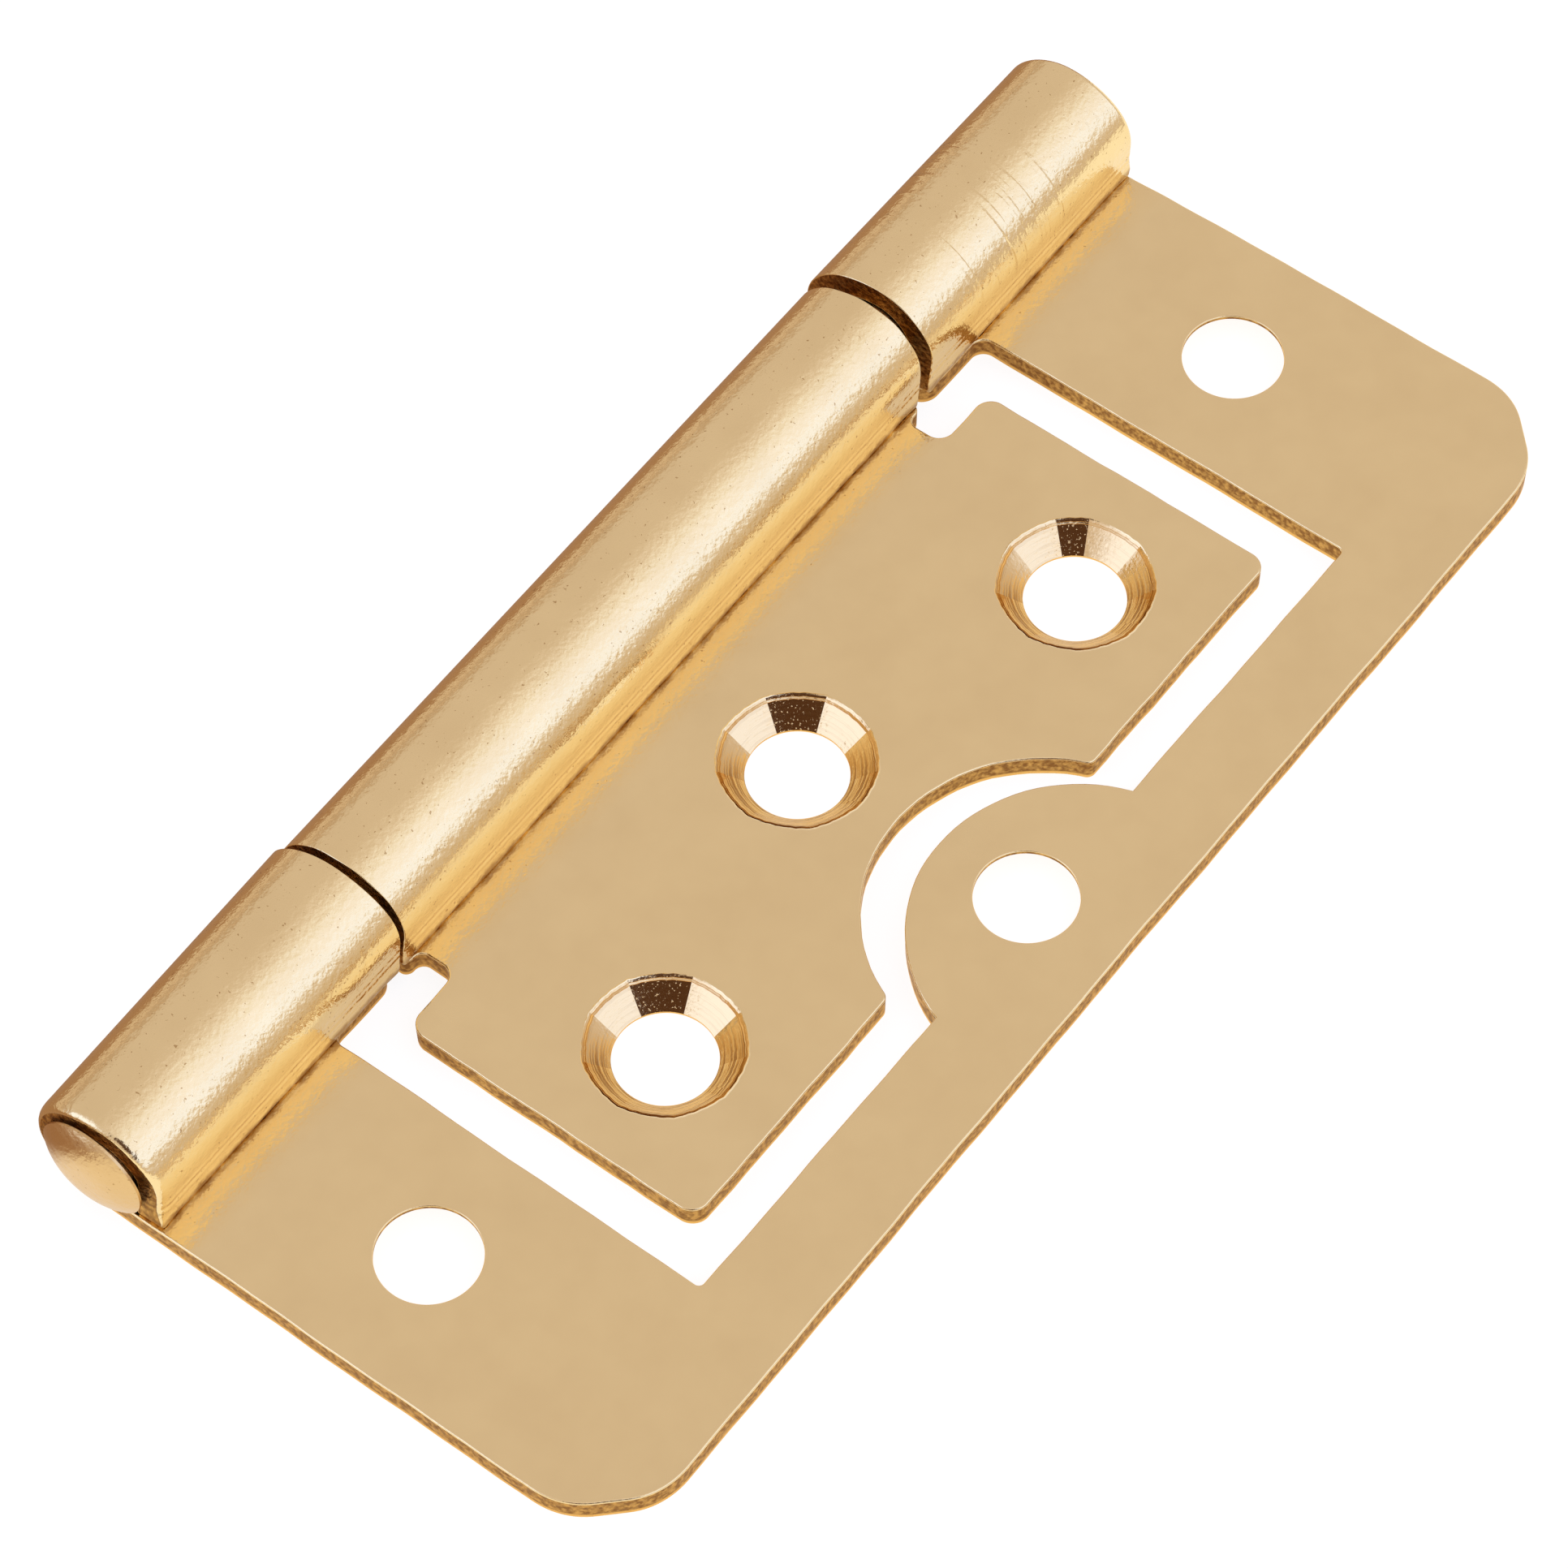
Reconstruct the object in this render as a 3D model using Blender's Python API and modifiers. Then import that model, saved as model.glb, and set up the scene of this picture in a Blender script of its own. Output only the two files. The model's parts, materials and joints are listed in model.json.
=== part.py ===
"""Flush hinge: an outer leaf with a window, an inner leaf that nests in it, and the pin that joins them.

Lengths are in metres. Every piece is drawn around the pin axis: X runs across the leaves towards the free
edge, Y along the pin with zero at half the hinge's length, and Z up, away from the back of the leaves.
"""

import math

import bmesh
import bpy

MM = 0.001
ORIGIN = (0.0, 0.0)

# Sheet, pin and barrel
sheet_thickness = 1.35 * MM
pin_diameter = 4.0 * MM
running_clearance = 0.15 * MM
seam_gap = 0.06 * MM
foot_swell = 0.15 * MM
foot_height = 1.6 * MM

# Outer leaf
hinge_length = 75.0 * MM
leaf_reach = 29.9 * MM
arm_width = 12.35 * MM
bar_width = 4.8 * MM
free_corner_cut = 3.3 * MM
free_corner_radius = 4.0 * MM
window_corner_radius = 0.3 * MM
window_root_radius = 0.7 * MM
lobe_radius = 8.2 * MM
lobe_reach = 5.5 * MM
knuckle_length = 17.0 * MM
outer_tongue_lip = 0.1 * MM
outer_tongue_radius = 1.0 * MM

# Inner leaf and its play along the pin
end_play = 1.2 * MM
rest_shift = 0.2 * MM
leaf_end_clearance = 2.75 * MM
leaf_side_clearance = 2.37 * MM
lobe_clearance = 2.3 * MM
notch_radius = 8.6 * MM
notch_lip_radius = 0.5 * MM
inner_corner_radius = 0.9 * MM
inner_tongue_lip = 0.4 * MM
inner_tongue_radius = 0.5 * MM
relief_width = 2.1 * MM
relief_depth = 1.1 * MM
relief_radius = 0.8 * MM

# Screw holes, the same punch and countersink in both leaves
hole_diameter = 5.0 * MM
countersink_diameter = 7.7 * MM
hole_land = 0.15 * MM
arm_hole_inset = 6.25 * MM
arm_hole_setback = 15.55 * MM
lobe_hole_inset = 5.3 * MM
inner_hole_inset = 6.4 * MM
inner_hole_setback = 6.63 * MM
inner_middle_hole_setback = 5.75 * MM

# Pin ends
head_diameter = 5.6 * MM
head_height = 0.72 * MM
head_rim = 0.13 * MM
head_seat_gap = 0.1 * MM
tail_projection = 0.3 * MM
tail_crown = 0.25 * MM

# Facets and tolerances
ARC_STEP = math.radians(9.0)
SHARP_ANGLE = math.radians(35.0)
HOLE_SIDES = 40
PIN_SIDES = 48
SWELL_STEPS = 6
CROWN_STEPS = 8
FULLEST_FILLET = 0.95
WELD_DISTANCE = 1e-7
TURN_MERGE = 1e-6

# Worked out from the sizes above
pin_radius = pin_diameter / 2
bore_radius = pin_radius + running_clearance
barrel_radius = bore_radius + sheet_thickness
leaf_back = -barrel_radius
leaf_face = -bore_radius
half_length = hinge_length / 2
knuckle_face = half_length - knuckle_length
window_half = half_length - arm_width
window_edge = leaf_reach - bar_width
foot_face = barrel_radius + foot_swell
inner_half = window_half - leaf_end_clearance
inner_reach = window_edge - leaf_side_clearance
inner_knuckle_half = knuckle_face - end_play / 2
notch_bottom = window_edge - lobe_reach - lobe_clearance
overcut = 2.0 * MM
head_projection = head_seat_gap + head_rim + head_height
axis_place = (
    (barrel_radius - leaf_reach) / 2,
    (head_projection - tail_projection) / 2,
    barrel_radius,
)


def clear_scene():
    """Empty the file of the objects and collections that it starts with."""
    for obj in list(bpy.data.objects):
        bpy.data.objects.remove(obj, do_unlink=True)
    for collection in list(bpy.data.collections):
        bpy.data.collections.remove(collection)


def new_collection(name):
    collection = bpy.data.collections.new(name)
    bpy.context.scene.collection.children.link(collection)
    return collection


def metal(name, colour, roughness):
    """A plated metal with its own colour and polish."""
    material = bpy.data.materials.new(name)
    material.use_nodes = True
    shader = material.node_tree.nodes["Principled BSDF"]
    shader.inputs["Base Color"].default_value = (*colour, 1.0)
    shader.inputs["Metallic"].default_value = 1.0
    shader.inputs["Roughness"].default_value = roughness
    return material


def arc(centre, radius, start, end):
    """Points of an arc from one angle to another, both ends included."""
    steps = max(2, math.ceil(abs(end - start) / ARC_STEP))
    angles = (start + (end - start) * i / steps for i in range(steps + 1))
    return [(centre[0] + radius * math.cos(a), centre[1] + radius * math.sin(a)) for a in angles]


def fillet(before, corner, after, radius):
    """The arc that rounds a corner of an outline, made tighter where the sides beside it are too short."""
    ux, uy = before[0] - corner[0], before[1] - corner[1]
    vx, vy = after[0] - corner[0], after[1] - corner[1]
    u_length, v_length = math.hypot(ux, uy), math.hypot(vx, vy)
    ux, uy, vx, vy = ux / u_length, uy / u_length, vx / v_length, vy / v_length
    half_angle = math.acos(max(-1.0, min(1.0, ux * vx + uy * vy))) / 2
    radius = min(radius, FULLEST_FILLET * min(u_length, v_length) * math.tan(half_angle))
    reach = radius / math.sin(half_angle)
    middle = math.hypot(ux + vx, uy + vy)
    centre = (corner[0] + (ux + vx) / middle * reach, corner[1] + (uy + vy) / middle * reach)
    tangent = radius / math.tan(half_angle)
    first = math.atan2(corner[1] + uy * tangent - centre[1], corner[0] + ux * tangent - centre[0])
    last = math.atan2(corner[1] + vy * tangent - centre[1], corner[0] + vx * tangent - centre[0])
    turn = (last - first + math.pi) % (2 * math.pi) - math.pi
    return arc(centre, radius, first, first + turn)


def rounded(corners):
    """An outline from (x, y, radius) corners, each rounded where its radius isn't zero."""
    outline = []
    for i, (x, y, radius) in enumerate(corners):
        if radius == 0:
            outline.append((x, y))
            continue
        outline += fillet(corners[i - 1][:2], (x, y), corners[(i + 1) % len(corners)][:2], radius)
    return outline


def add_child(obj, axis, collection):
    obj.parent = axis
    collection.objects.link(obj)
    return obj


def flat_solid(name, outline, depth, axis, collection, upright=False):
    """A solid of even depth from a flat outline, centred on that outline's plane.

    A level outline is in X and Y. An upright one is in X and Z, and its depth runs along Y.
    """
    curve = bpy.data.curves.new(name, "CURVE")
    curve.dimensions = "2D"
    curve.fill_mode = "BOTH"
    curve.extrude = depth / 2
    spline = curve.splines.new("POLY")
    spline.points.add(len(outline) - 1)
    for point, (x, y) in zip(spline.points, outline):
        point.co = (x, y, 0.0, 1.0)
    spline.use_cyclic_u = True
    drawn = bpy.data.objects.new(name + "_outline", curve)
    if upright:
        drawn.rotation_euler = (math.pi / 2, 0.0, 0.0)
    collection.objects.link(drawn)
    bpy.context.view_layer.update()
    graph = bpy.context.evaluated_depsgraph_get()
    mesh = bpy.data.meshes.new_from_object(drawn.evaluated_get(graph))
    mesh.name = name
    mesh.transform(drawn.matrix_world)
    weld_caps(mesh)
    bpy.data.objects.remove(drawn, do_unlink=True)
    return add_child(bpy.data.objects.new(name, mesh), axis, collection)


def weld_caps(mesh):
    """Join a curve's loose caps to its sides."""
    shell = bmesh.new()
    shell.from_mesh(mesh)
    bmesh.ops.remove_doubles(shell, verts=shell.verts, dist=WELD_DISTANCE)
    bmesh.ops.recalc_face_normals(shell, faces=shell.faces)
    shell.to_mesh(mesh)
    shell.free()


def turned_solid(name, profile, sides, turn_axis, axis, collection):
    """A solid of revolution about its own Y or Z axis, from a profile that starts and ends on the axis."""
    mesh = bpy.data.meshes.new(name)
    along = 1 if turn_axis == "Y" else 2
    points = []
    for radius, height in profile:
        point = [radius, 0.0, 0.0]
        point[along] = height
        points.append(point)
    mesh.from_pydata(points, [(i, i + 1) for i in range(len(points) - 1)], [])
    turned = add_child(bpy.data.objects.new(name, mesh), axis, collection)
    screw = turned.modifiers.new("turn", "SCREW")
    screw.axis = turn_axis
    screw.steps = screw.render_steps = sides
    screw.use_merge_vertices = True
    screw.merge_threshold = TURN_MERGE
    return turned


def barrel_section():
    """The rolled sheet seen along the pin: flat leaf, curl round the pin, and the foot that lands on the leaf."""
    foot_end = leaf_face + seam_gap
    swell = []
    for i in range(1, SWELL_STEPS):
        share = i / SWELL_STEPS
        height = foot_end + foot_height * (1 - share)
        swell.append((barrel_radius + foot_swell * math.sin(math.pi * share / 2) ** 2, height))
    outside = arc(ORIGIN, barrel_radius, math.radians(270), 0.0)
    inside = arc(ORIGIN, bore_radius, 0.0, math.radians(270))
    outer_corner = fillet(swell[-1], (foot_face, foot_end), (bore_radius, foot_end), foot_swell)
    free_end = leaf_reach + overcut
    return (
        [(free_end, leaf_back)]
        + outside
        + swell
        + outer_corner
        + [(bore_radius, foot_end)]
        + inside
        + [(free_end, leaf_face)]
    )


def bite(edge, centre_x, radius, side):
    """The arc that bulges in -X from a straight edge, from its end on one side of the middle to the other."""
    half_angle = math.acos((centre_x - edge) / radius)
    return arc((centre_x, 0.0), radius, math.pi - side * half_angle, math.pi + side * half_angle)


def outer_outline():
    """The stamped outline of the outer leaf: arms, free bar, window with its lobe, and the knuckle gap.

    A free corner turns in two equal bends with a short straight between them.
    """
    clear = -(barrel_radius + overcut)
    tongue = foot_face + outer_tongue_lip
    lobe = bite(window_edge, window_edge - lobe_reach + lobe_radius, lobe_radius, 1)
    return rounded(
        [
            (clear, -half_length, 0),
            (leaf_reach - free_corner_cut, -half_length, free_corner_radius),
            (leaf_reach, free_corner_cut - half_length, free_corner_radius),
            (leaf_reach, half_length - free_corner_cut, free_corner_radius),
            (leaf_reach - free_corner_cut, half_length, free_corner_radius),
            (clear, half_length, 0),
            (clear, knuckle_face, 0),
            (tongue, knuckle_face, 0),
            (tongue, window_half, window_root_radius),
            (window_edge, window_half, window_corner_radius),
        ]
        + [(x, y, 0) for x, y in lobe]
        + [
            (window_edge, -window_half, window_corner_radius),
            (tongue, -window_half, window_root_radius),
            (tongue, -knuckle_face, 0),
            (clear, -knuckle_face, 0),
        ]
    )


def inner_outline():
    """The stamped outline of the inner leaf: knuckle tab, relief beside it, and the notch that clears the lobe."""
    clear = -(barrel_radius + overcut)
    tongue = foot_face + inner_tongue_lip
    relief = tongue + relief_width
    shoulder = inner_knuckle_half - relief_depth
    notch = bite(inner_reach, notch_bottom + notch_radius, notch_radius, -1)
    end_lips = (0, len(notch) - 1)
    corners = (
        [
            (clear, -inner_knuckle_half, 0),
            (tongue, -inner_knuckle_half, 0),
            (tongue, -shoulder, inner_tongue_radius),
            (relief, -shoulder, relief_radius),
            (relief, -inner_half, inner_corner_radius),
            (inner_reach, -inner_half, inner_corner_radius),
        ]
        + [(x, y, notch_lip_radius if i in end_lips else 0) for i, (x, y) in enumerate(notch)]
        + [
            (inner_reach, inner_half, inner_corner_radius),
            (relief, inner_half, inner_corner_radius),
            (relief, shoulder, relief_radius),
            (tongue, shoulder, inner_tongue_radius),
            (tongue, inner_knuckle_half, 0),
            (clear, inner_knuckle_half, 0),
        ]
    )
    return rounded(corners)


def hole_cutter(name, place, opens_up, axis, collection):
    """A countersunk screw hole: a short straight land, then a cone that opens at the face or at the back."""
    slope = (countersink_diameter - hole_diameter) / 2 / (sheet_thickness - hole_land)
    far = sheet_thickness + overcut
    far_radius = countersink_diameter / 2 + slope * overcut
    profile = [
        (0.0, far),
        (far_radius, far),
        (hole_diameter / 2, hole_land),
        (hole_diameter / 2, -overcut),
        (0.0, -overcut),
    ]
    cutter = turned_solid(name, profile, HOLE_SIDES, "Z", axis, collection)
    cutter.location = (*place, leaf_back)
    if not opens_up:
        cutter.location.z = leaf_face
        cutter.rotation_euler = (math.pi, 0.0, 0.0)
    return cutter


def tongue_corner_cutter(name, corner, radius, away, axis, collection):
    """Rounds a corner of the sheet under a knuckle, below the seam, where the curl's own end stays square.

    The corner points to +X, and along Y in the direction that away gives.
    """
    x, y = corner
    outline = [(x + overcut, y + away * overcut), (x + overcut, y - away * radius)]
    outline += arc((x - radius, y - away * radius), radius, 0.0, away * math.pi / 2)
    outline.append((x - radius, y + away * overcut))
    depth = sheet_thickness + overcut
    cutter = flat_solid(name, outline, depth, axis, collection)
    cutter.location.z = leaf_face + seam_gap / 2 - depth / 2
    return cutter


def cut(piece, cutter, operation):
    step = piece.modifiers.new(cutter.name, "BOOLEAN")
    step.operation = operation
    step.solver = "EXACT"
    step.object = cutter
    cutter.hide_render = True
    cutter.display_type = "WIRE"


def smooth(piece):
    piece.data.shade_smooth()
    piece.data.set_sharp_from_angle(angle=SHARP_ANGLE)


def rolled_leaf(name, outline, shift, holes, tongue_corners, material, axis, parts, cutters):
    """A leaf: the rolled section, trimmed to its stamped outline and punched.

    Holes are (x, y, opens_up) and tongue corners (x, y, radius, away), all about the leaf's own middle.
    """
    leaf = flat_solid(name, barrel_section(), hinge_length + 2 * overcut, axis, parts, upright=True)
    leaf.data.materials.append(material)
    trim_depth = 2 * (barrel_radius + overcut)
    trim = flat_solid(name + "_trim", outline, trim_depth, axis, cutters)
    trim.location.y = shift
    cut(leaf, trim, "INTERSECT")
    for i, (x, y, opens_up) in enumerate(holes):
        cutter = hole_cutter(f"{name}_hole_{i + 1}", (x, y + shift), opens_up, axis, cutters)
        cut(leaf, cutter, "DIFFERENCE")
    for i, (x, y, radius, away) in enumerate(tongue_corners):
        cutter = tongue_corner_cutter(f"{name}_tongue_{i + 1}", (x, y), radius, away, axis, cutters)
        cutter.location.y = shift
        cut(leaf, cutter, "DIFFERENCE")
    smooth(leaf)
    return leaf


def make_outer_leaf(axis, parts, cutters):
    hole_x = leaf_reach - arm_hole_setback
    hole_y = half_length - arm_hole_inset
    tongue = foot_face + outer_tongue_lip
    return rolled_leaf(
        "outer_leaf",
        outer_outline(),
        0.0,
        [
            (hole_x, -hole_y, False),
            (hole_x, hole_y, False),
            (leaf_reach - lobe_hole_inset, 0.0, False),
        ],
        [
            (tongue, knuckle_face, outer_tongue_radius, -1),
            (tongue, -knuckle_face, outer_tongue_radius, 1),
        ],
        metal("outer_leaf_brass_plate", (0.64, 0.45, 0.24), 0.3),
        axis,
        parts,
        cutters,
    )


def make_inner_leaf(axis, parts, cutters):
    hole_x = inner_reach - inner_hole_setback
    hole_y = inner_half - inner_hole_inset
    tongue = foot_face + inner_tongue_lip
    return rolled_leaf(
        "inner_leaf",
        inner_outline(),
        -rest_shift,
        [
            (hole_x, -hole_y, True),
            (hole_x, hole_y, True),
            (notch_bottom - inner_middle_hole_setback, 0.0, True),
        ],
        [
            (tongue, inner_knuckle_half, inner_tongue_radius, 1),
            (tongue, -inner_knuckle_half, inner_tongue_radius, -1),
        ],
        metal("inner_leaf_brass_plate", (0.66, 0.47, 0.25), 0.28),
        axis,
        parts,
        cutters,
    )


def crown(base_radius, height, base, direction):
    """Points of a spherical cap from its base circle to its top on the axis."""
    sphere = (base_radius**2 + height**2) / (2 * height)
    full = math.asin(min(1.0, base_radius / sphere))
    points = []
    for i in range(CROWN_STEPS + 1):
        angle = full * (1 - i / CROWN_STEPS)
        rise = sphere * math.cos(angle) - (sphere - height)
        points.append((sphere * math.sin(angle), base + direction * rise))
    points[-1] = (0.0, base + direction * height)
    return points


def make_pin(axis, parts):
    """The pin: a domed head at the -Y end, a plain shank, and a low crown at the +Y end."""
    head_seat = -half_length - head_seat_gap
    tail_base = half_length + tail_projection - tail_crown
    head = crown(head_diameter / 2, head_height, head_seat - head_rim, -1)
    tail = crown(pin_radius, tail_crown, tail_base, 1)
    profile = tail[::-1] + [(pin_radius, head_seat), (head_diameter / 2, head_seat)] + head
    pin = turned_solid("hinge_pin", profile, PIN_SIDES, "Y", axis, parts)
    pin.data.materials.append(metal("pin_brass_plate", (0.62, 0.42, 0.2), 0.2))
    smooth(pin)
    return pin


def main():
    clear_scene()
    parts = new_collection("flush_hinge")
    cutters = new_collection("flush_hinge_cutters")
    axis = bpy.data.objects.new("pin_axis", None)
    axis.location = axis_place
    parts.objects.link(axis)
    make_outer_leaf(axis, parts, cutters)
    make_inner_leaf(axis, parts, cutters)
    make_pin(axis, parts)


main()
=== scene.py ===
"""Flush hinge in brass plate: the look of its two rolled leaves and its pin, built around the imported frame.

Lengths are in metres. Shapes are worked out around the pin axis, with X across the leaves towards the free
edge, Y along the pin and Z up, and are then moved to the axis that the frame gives.

A leaf is drawn as the flat blank that it was stamped from. A point of the blank has a run, which is its
place across the sheet (from the free edge down to zero under the pin, and below zero along the curl and the
foot), a y along the pin, and a depth below the face. One function bends blank points into place, so every
edge, hole and corner is the same work on the flat part and on the knuckle.
"""

import json
import math

import bpy
import numpy as np
from mathutils import Matrix, Vector
from mathutils.geometry import delaunay_2d_cdt


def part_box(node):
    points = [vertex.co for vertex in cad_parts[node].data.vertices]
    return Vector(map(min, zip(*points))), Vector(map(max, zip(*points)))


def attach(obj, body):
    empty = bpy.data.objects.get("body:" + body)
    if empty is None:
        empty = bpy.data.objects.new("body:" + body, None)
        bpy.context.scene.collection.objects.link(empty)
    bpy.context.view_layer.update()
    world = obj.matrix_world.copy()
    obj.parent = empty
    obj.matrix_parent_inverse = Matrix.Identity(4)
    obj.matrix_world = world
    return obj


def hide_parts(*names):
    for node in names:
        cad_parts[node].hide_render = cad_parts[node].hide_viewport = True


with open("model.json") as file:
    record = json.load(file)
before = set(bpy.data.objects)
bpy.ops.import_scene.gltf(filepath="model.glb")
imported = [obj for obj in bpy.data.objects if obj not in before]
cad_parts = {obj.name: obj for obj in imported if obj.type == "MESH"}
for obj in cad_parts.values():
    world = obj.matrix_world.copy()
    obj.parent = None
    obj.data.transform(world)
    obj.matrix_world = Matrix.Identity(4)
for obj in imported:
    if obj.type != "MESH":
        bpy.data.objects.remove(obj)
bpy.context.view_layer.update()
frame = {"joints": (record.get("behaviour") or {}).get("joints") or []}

bl_info = {
    "name": "Flush Hinge",
    "version": (1, 0, 0),
    "blender": (4, 5, 0),
    "location": "View3D > Sidebar > Flush Hinge",
    "description": "Rebuilds a brass plated flush hinge around its packed frame",
    "category": "Object",
}

MM = 0.001
PIN_AXIS = np.array(frame["joints"][0]["pos_m"])
OUTER_LOW, OUTER_HIGH = (np.array(corner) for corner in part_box("outer_leaf"))
INNER_LOW, INNER_HIGH = (np.array(corner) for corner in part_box("inner_leaf"))
PIN_LOW, PIN_HIGH = (np.array(corner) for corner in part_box("hinge_pin"))

QUARTER = math.pi / 2
ARC_STEP = math.radians(4.0)
TIGHTENS_BY, EASES_OVER, CREEPS_BY = (math.radians(angle) for angle in (60, 110, 150))
SPRINGS_BACK = 0.85
SETTLES_BY = 4.0 * MM
DENT_FULL, DENT_EASES = 2.5 * MM, 2.8 * MM
RIDGE, RIDGES_FROM = 0.009 * MM, 0.5 * MM
LONG_RIDGE, SHORT_RIDGE = 0.083 * MM, 0.056 * MM
FOOT_CORNER = 0.25 * MM
END_BAND = 0.15 * MM
CORNER_SHARE = 0.3
HEAD_END_STRETCH = 0.9
BARREL_WANDER = 0.6
JAG = 0.0025
TOUCH = 0.01 * MM
CURL_CLEARANCE, FLAT_CLEARANCE = 0.09 * MM, 0.6 * MM
CURL_STEPS = 72
FOOT_STEPS = 40
EDGE_STEPS = 5
HOLE_SIDES = 180
PIN_SIDES = 128
FLAT_STEP = 1.0 * MM
MESH_SCALE = 1000.0

PLATE, WALL, SINK = 0, 1, 2

OUTER_WANDER = np.array([0.12, -0.15, -0.09, 0.04]) * MM
INNER_WANDER = np.array([0.12, 0.12]) * MM
FOOT_SHIFT = 0.12 * MM
FLAT_SHIFT = -0.074 * MM
HEAD_SHIFT = 0.12 * MM
SEAM_OUT, SEAM_HEIGHT = 3.66 * MM, 1.5 * MM
EDGE_TINT = (1.0, 0.84, 0.62, 1.0)
FACETS = (
    (0.02, 0.13, 0.24, 0.36, 0.47, 0.575, 0.70, 0.82, 0.92),
    (0.04, 0.14, 0.25, 0.38, 0.50, 0.61, 0.68, 0.80, 0.91),
    (0.01, 0.12, 0.25, 0.37, 0.47, 0.585, 0.705, 0.825, 0.92),
)
SKY = (
    (0, (0.72, 0.637, 0.648)),
    (9, (0.7, 0.616, 0.648)),
    (16, (0.9, 0.924, 1.19)),
    (22, (1.04, 1.21, 1.96)),
    (29, (1.06, 1.26, 2.15)),
    (36, (1.04, 1.16, 1.78)),
    (50, (1.01, 1.09, 1.6)),
    (58, (0.97, 1.04, 1.44)),
    (66, (0.92, 0.945, 1.21)),
    (74, (0.86, 0.852, 1.05)),
    (82, (0.79, 0.75, 0.88)),
    (90, (0.735, 0.683, 0.764)),
    (102, (0.69, 0.629, 0.684)),
    (112, (0.685, 0.624, 0.678)),
    (156, (0.685, 0.624, 0.678)),
    (162, (0.62, 0.534, 0.538)),
    (168, (0.45, 0.335, 0.27)),
    (173, (0.62, 0.493, 0.452)),
    (180, (0.68, 0.544, 0.489)),
)


def length(name, description, default):
    """A size in metres, shown in the scene's units."""
    return bpy.props.FloatProperty(
        name=name, description=description, default=default, unit="LENGTH", precision=5
    )


def colour(name, description, default):
    """A linear colour."""
    return bpy.props.FloatVectorProperty(
        name=name, description=description, default=default, size=3, min=0.0, subtype="COLOR"
    )


def share(name, description, default):
    """A plain number from zero to one."""
    return bpy.props.FloatProperty(
        name=name, description=description, default=default, min=0.0, max=1.0, subtype="FACTOR"
    )


def swing(name, description, default):
    """An angle in radians, shown in degrees."""
    return bpy.props.FloatProperty(name=name, description=description, default=default, subtype="ANGLE")


def spot(name, description, from_axis):
    """A place, given in millimetres from the pin axis."""
    default = PIN_AXIS + np.array(from_axis) * MM
    return bpy.props.FloatVectorProperty(
        name=name, description=description, default=default, subtype="TRANSLATION", unit="LENGTH"
    )


class FlushHingeSheet(bpy.types.PropertyGroup):
    """Sizes that both rolled leaves share."""

    thickness: length("Sheet thickness", "Thickness of the stamped sheet", 1.35 * MM)
    barrel_radius: length("Barrel radius", "Outside of the rolled knuckles", PIN_AXIS[0] - OUTER_LOW[0])
    seam_gap: length("Seam", "Gap between the end of the curl and the leaf below it", 0.04 * MM)
    foot_swell: length("Foot swell", "How far the end of the curl stands out beyond the barrel", 0.06 * MM)
    dent: length("Dent", "How far the face sinks beside the seam", 0.12 * MM)
    foot_height: length("Swell height", "Height over which the end of the curl swells", 1.6 * MM)
    face_round: length("Face edge", "Radius of the sheared edge on the face side", 0.1 * MM)
    back_round: length("Back edge", "Radius of the sheared edge on the back", 0.07 * MM)
    end_round: length("Barrel end edge", "Depth of the rounding at the two ends of the barrel", 0.32 * MM)
    gap_round: length("Knuckle edge", "Depth of the rounding where two knuckles meet", 0.06 * MM)
    foot_round: length("Foot edge", "Radius at the bottom of the foot, above the seam", 0.18 * MM)
    out_of_round: length("Out of round", "How much the curl tightens from its side to its top", 0.18 * MM)
    wobble: length("Wobble", "How far the stamped edges wander", 0.02 * MM)
    askew: swing("Askew", "How far the barrel was rolled askew of the leaf", 0.004957)
    creep: length("Creep", "How far the sheet crept along the pin on its way round it", 0.38 * MM)


class FlushHingeOuterLeaf(bpy.types.PropertyGroup):
    """Sizes of the outer leaf's stamped outline."""

    hinge_length: length("Length", "Length of the hinge along the pin", OUTER_HIGH[1] - OUTER_LOW[1])
    reach: length("Reach", "From the pin axis to the free edge", OUTER_HIGH[0] - PIN_AXIS[0])
    arm_width: length("Arm width", "Width of the two arms beside the window", 12.35 * MM)
    bar_width: length("Bar width", "Width of the bar along the free edge", 4.8 * MM)
    corner_cut: length("Corner cut", "How far the two bends of a free corner cut it back", 3.3 * MM)
    free_corner: length("Free corner", "Radius of the bends of the two outer corners", 4.0 * MM)
    window_corner: length("Window corner", "Radius of the window's corners at the bar", 0.3 * MM)
    window_root: length("Window root", "Radius of the window's corners at the barrel", 0.7 * MM)
    lobe_radius: length("Lobe radius", "Radius of the round lobe for the middle screw", 8.2 * MM)
    lobe_reach: length("Lobe reach", "How far the lobe stands into the window", 5.5 * MM)
    knuckle_length: length("Knuckle length", "Length of each end knuckle", 17.0 * MM)
    tongue_lip: length("Tongue lip", "How far the sheet shows beyond the foot beside the window", 0.1 * MM)
    tongue_corner: length("Tongue corner", "Radius of the sheet's corner under the knuckle", 1.0 * MM)


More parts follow.
